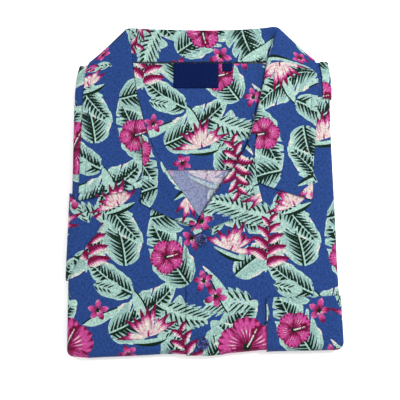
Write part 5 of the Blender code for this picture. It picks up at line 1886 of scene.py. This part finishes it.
class SHIRT_OT_neck(bpy.types.Operator):
    """Builds what shows inside the neck: the back, the yoke's lining and outer layer"""

    bl_idname = "shirt.neck"
    bl_label = "Back and yoke"

    def execute(self, context):
        back = {"name": "back_cloth", "wrong_side": 1.0, "slot": "reverse"}
        lay_sheet("back_panel", back_panel_grids(), (30.0, 150.0), "laid", ["folded_layers"], {}, **back)
        grids = yoke_lining_grids()
        sewn = {"yoke_stitches": [run_on(grids[0], yoke_hem_path(-39.0, 36.0))]}
        lay_sheet("yoke_lining", grids, (150.0, 10.0), "laid", ["back_panel", "folded_layers"], sewn)
        lay_sheet("back_yoke", back_yoke_grids(), (60.0, 30.0), "folded", ["folded_layers"], {})
        return {"FINISHED"}


class SHIRT_OT_pocket(bpy.types.Operator):
    """Builds the patch pocket on the left front"""

    bl_idname = "shirt.pocket"
    bl_label = "Pocket"

    def execute(self, context):
        grids = pocket_grids()
        runs = [run_on(grids[0], path) for path in (pocket_stitch_path(), pocket_hem_path())]
        lay_sheet("pocket", grids, (64.0, 84.0), "laid", ["left_front"], {"pocket_stitches": runs})
        return {"FINISHED"}


class SHIRT_OT_sleeves(bpy.types.Operator):
    """Builds what shows of the sleeves at both sides"""

    bl_idname = "shirt.sleeves"
    bl_label = "Sleeves"

    def execute(self, context):
        right, left = (10.0, 120.0, 36.0), (44.0, 20.0, 8.0)
        lay_sheet("right_sleeve", right_sleeve_grids(), right, "folded", ["right_front"], {})
        lay_sheet("left_sleeve", left_sleeve_grids(), left, "folded", ["left_front"], {})
        return {"FINISHED"}


class SHIRT_OT_labels(bpy.types.Operator):
    """Builds the bare neck and size labels"""

    bl_idname = "shirt.labels"
    bl_label = "Labels"

    def execute(self, context):
        for name, place in (("neck_label", NECK_LABEL), ("size_label", SIZE_LABEL)):
            lay_sheet(name, label_grids(*place), (), "laid", ["yoke_lining"], {}, slot="label")
        return {"FINISHED"}


class SHIRT_OT_stage(bpy.types.Operator):
    """Sets the floor, the studio light and the camera"""

    bl_idname = "shirt.stage"
    bl_label = "Stage"

    def execute(self, context):
        bpy.ops.mesh.primitive_plane_add(size=6.0, location=(0.0, 0.0, FLOOR_Z))
        floor = context.active_object
        floor.name = "floor"
        tree, shader = new_material("pale floor", Roughness=0.9, Specular_IOR_Level=0.35)
        grain = noise_node(tree, object_place(tree), 40.0, 2.0)
        greys = colour_value((0.90,) * 3), colour_value((0.94,) * 3)
        feed(tree, shader, Base_Color=mix_node(tree, grain, *greys))
        floor.data.materials.append(bpy.data.materials["pale floor"])
        for name, place, size, power in LAMPS:
            light = bpy.data.lights.new(name, "AREA")
            light.energy = power
            light.size = size
            aimed(light, Vector(place), Vector((0.0, 0.0, 0.0)))
        world = bpy.data.worlds.new("soft studio")
        world.use_nodes = True
        feed(world.node_tree, world.node_tree.nodes["Background"], Color=(1.0,) * 4, Strength=WORLD_LIGHT)
        context.scene.world = world
        context.scene.view_settings.view_transform = "Standard"
        optics = bpy.data.cameras.new("camera")
        optics.lens = CAMERA_LENS
        optics.sensor_width = 36.0
        aim, lean = Vector(CAMERA_AIM), math.radians(CAMERA_LEAN)
        place = aim + CAMERA_DISTANCE * Vector((0.0, -math.sin(lean), math.cos(lean)))
        context.scene.camera = aimed(optics, place, aim)
        return {"FINISHED"}


class SHIRT_PT_panel(bpy.types.Panel):
    """Lists the shirt's sizes, colours and steps"""

    bl_idname = "SHIRT_PT_panel"
    bl_label = "Folded aloha shirt"
    bl_space_type = "VIEW_3D"
    bl_region_type = "UI"
    bl_category = "Shirt"

    def draw(self, context):
        for group in (context.scene.shirt_sizes, context.scene.shirt_colours):
            box = self.layout.box()
            for name in group.__annotations__:
                box.prop(group, name)
        for step in STEPS:
            self.layout.operator(step.bl_idname)


STEPS = (
    SHIRT_OT_materials,
    SHIRT_OT_layers,
    SHIRT_OT_fronts,
    SHIRT_OT_facings,
    SHIRT_OT_collar,
    SHIRT_OT_neck,
    SHIRT_OT_pocket,
    SHIRT_OT_sleeves,
    SHIRT_OT_labels,
    SHIRT_OT_buttons,
    SHIRT_OT_stage,
)
CLASSES = (ShirtSizes, ShirtColours, *STEPS, SHIRT_PT_panel)


def register():
    for item in CLASSES:
        bpy.utils.register_class(item)
    bpy.types.Scene.shirt_sizes = bpy.props.PointerProperty(type=ShirtSizes)
    bpy.types.Scene.shirt_colours = bpy.props.PointerProperty(type=ShirtColours)


def unregister():
    del bpy.types.Scene.shirt_colours
    del bpy.types.Scene.shirt_sizes
    for item in reversed(CLASSES):
        bpy.utils.unregister_class(item)


def main():
    register()
    bpy.ops.shirt.materials()
    bpy.ops.shirt.layers()
    bpy.ops.shirt.fronts()
    bpy.ops.shirt.facings()
    bpy.ops.shirt.collar()
    bpy.ops.shirt.neck()
    bpy.ops.shirt.pocket()
    bpy.ops.shirt.sleeves()
    bpy.ops.shirt.labels()
    bpy.ops.shirt.buttons()
    bpy.ops.shirt.stage()


if __name__ == "__main__":
    main()
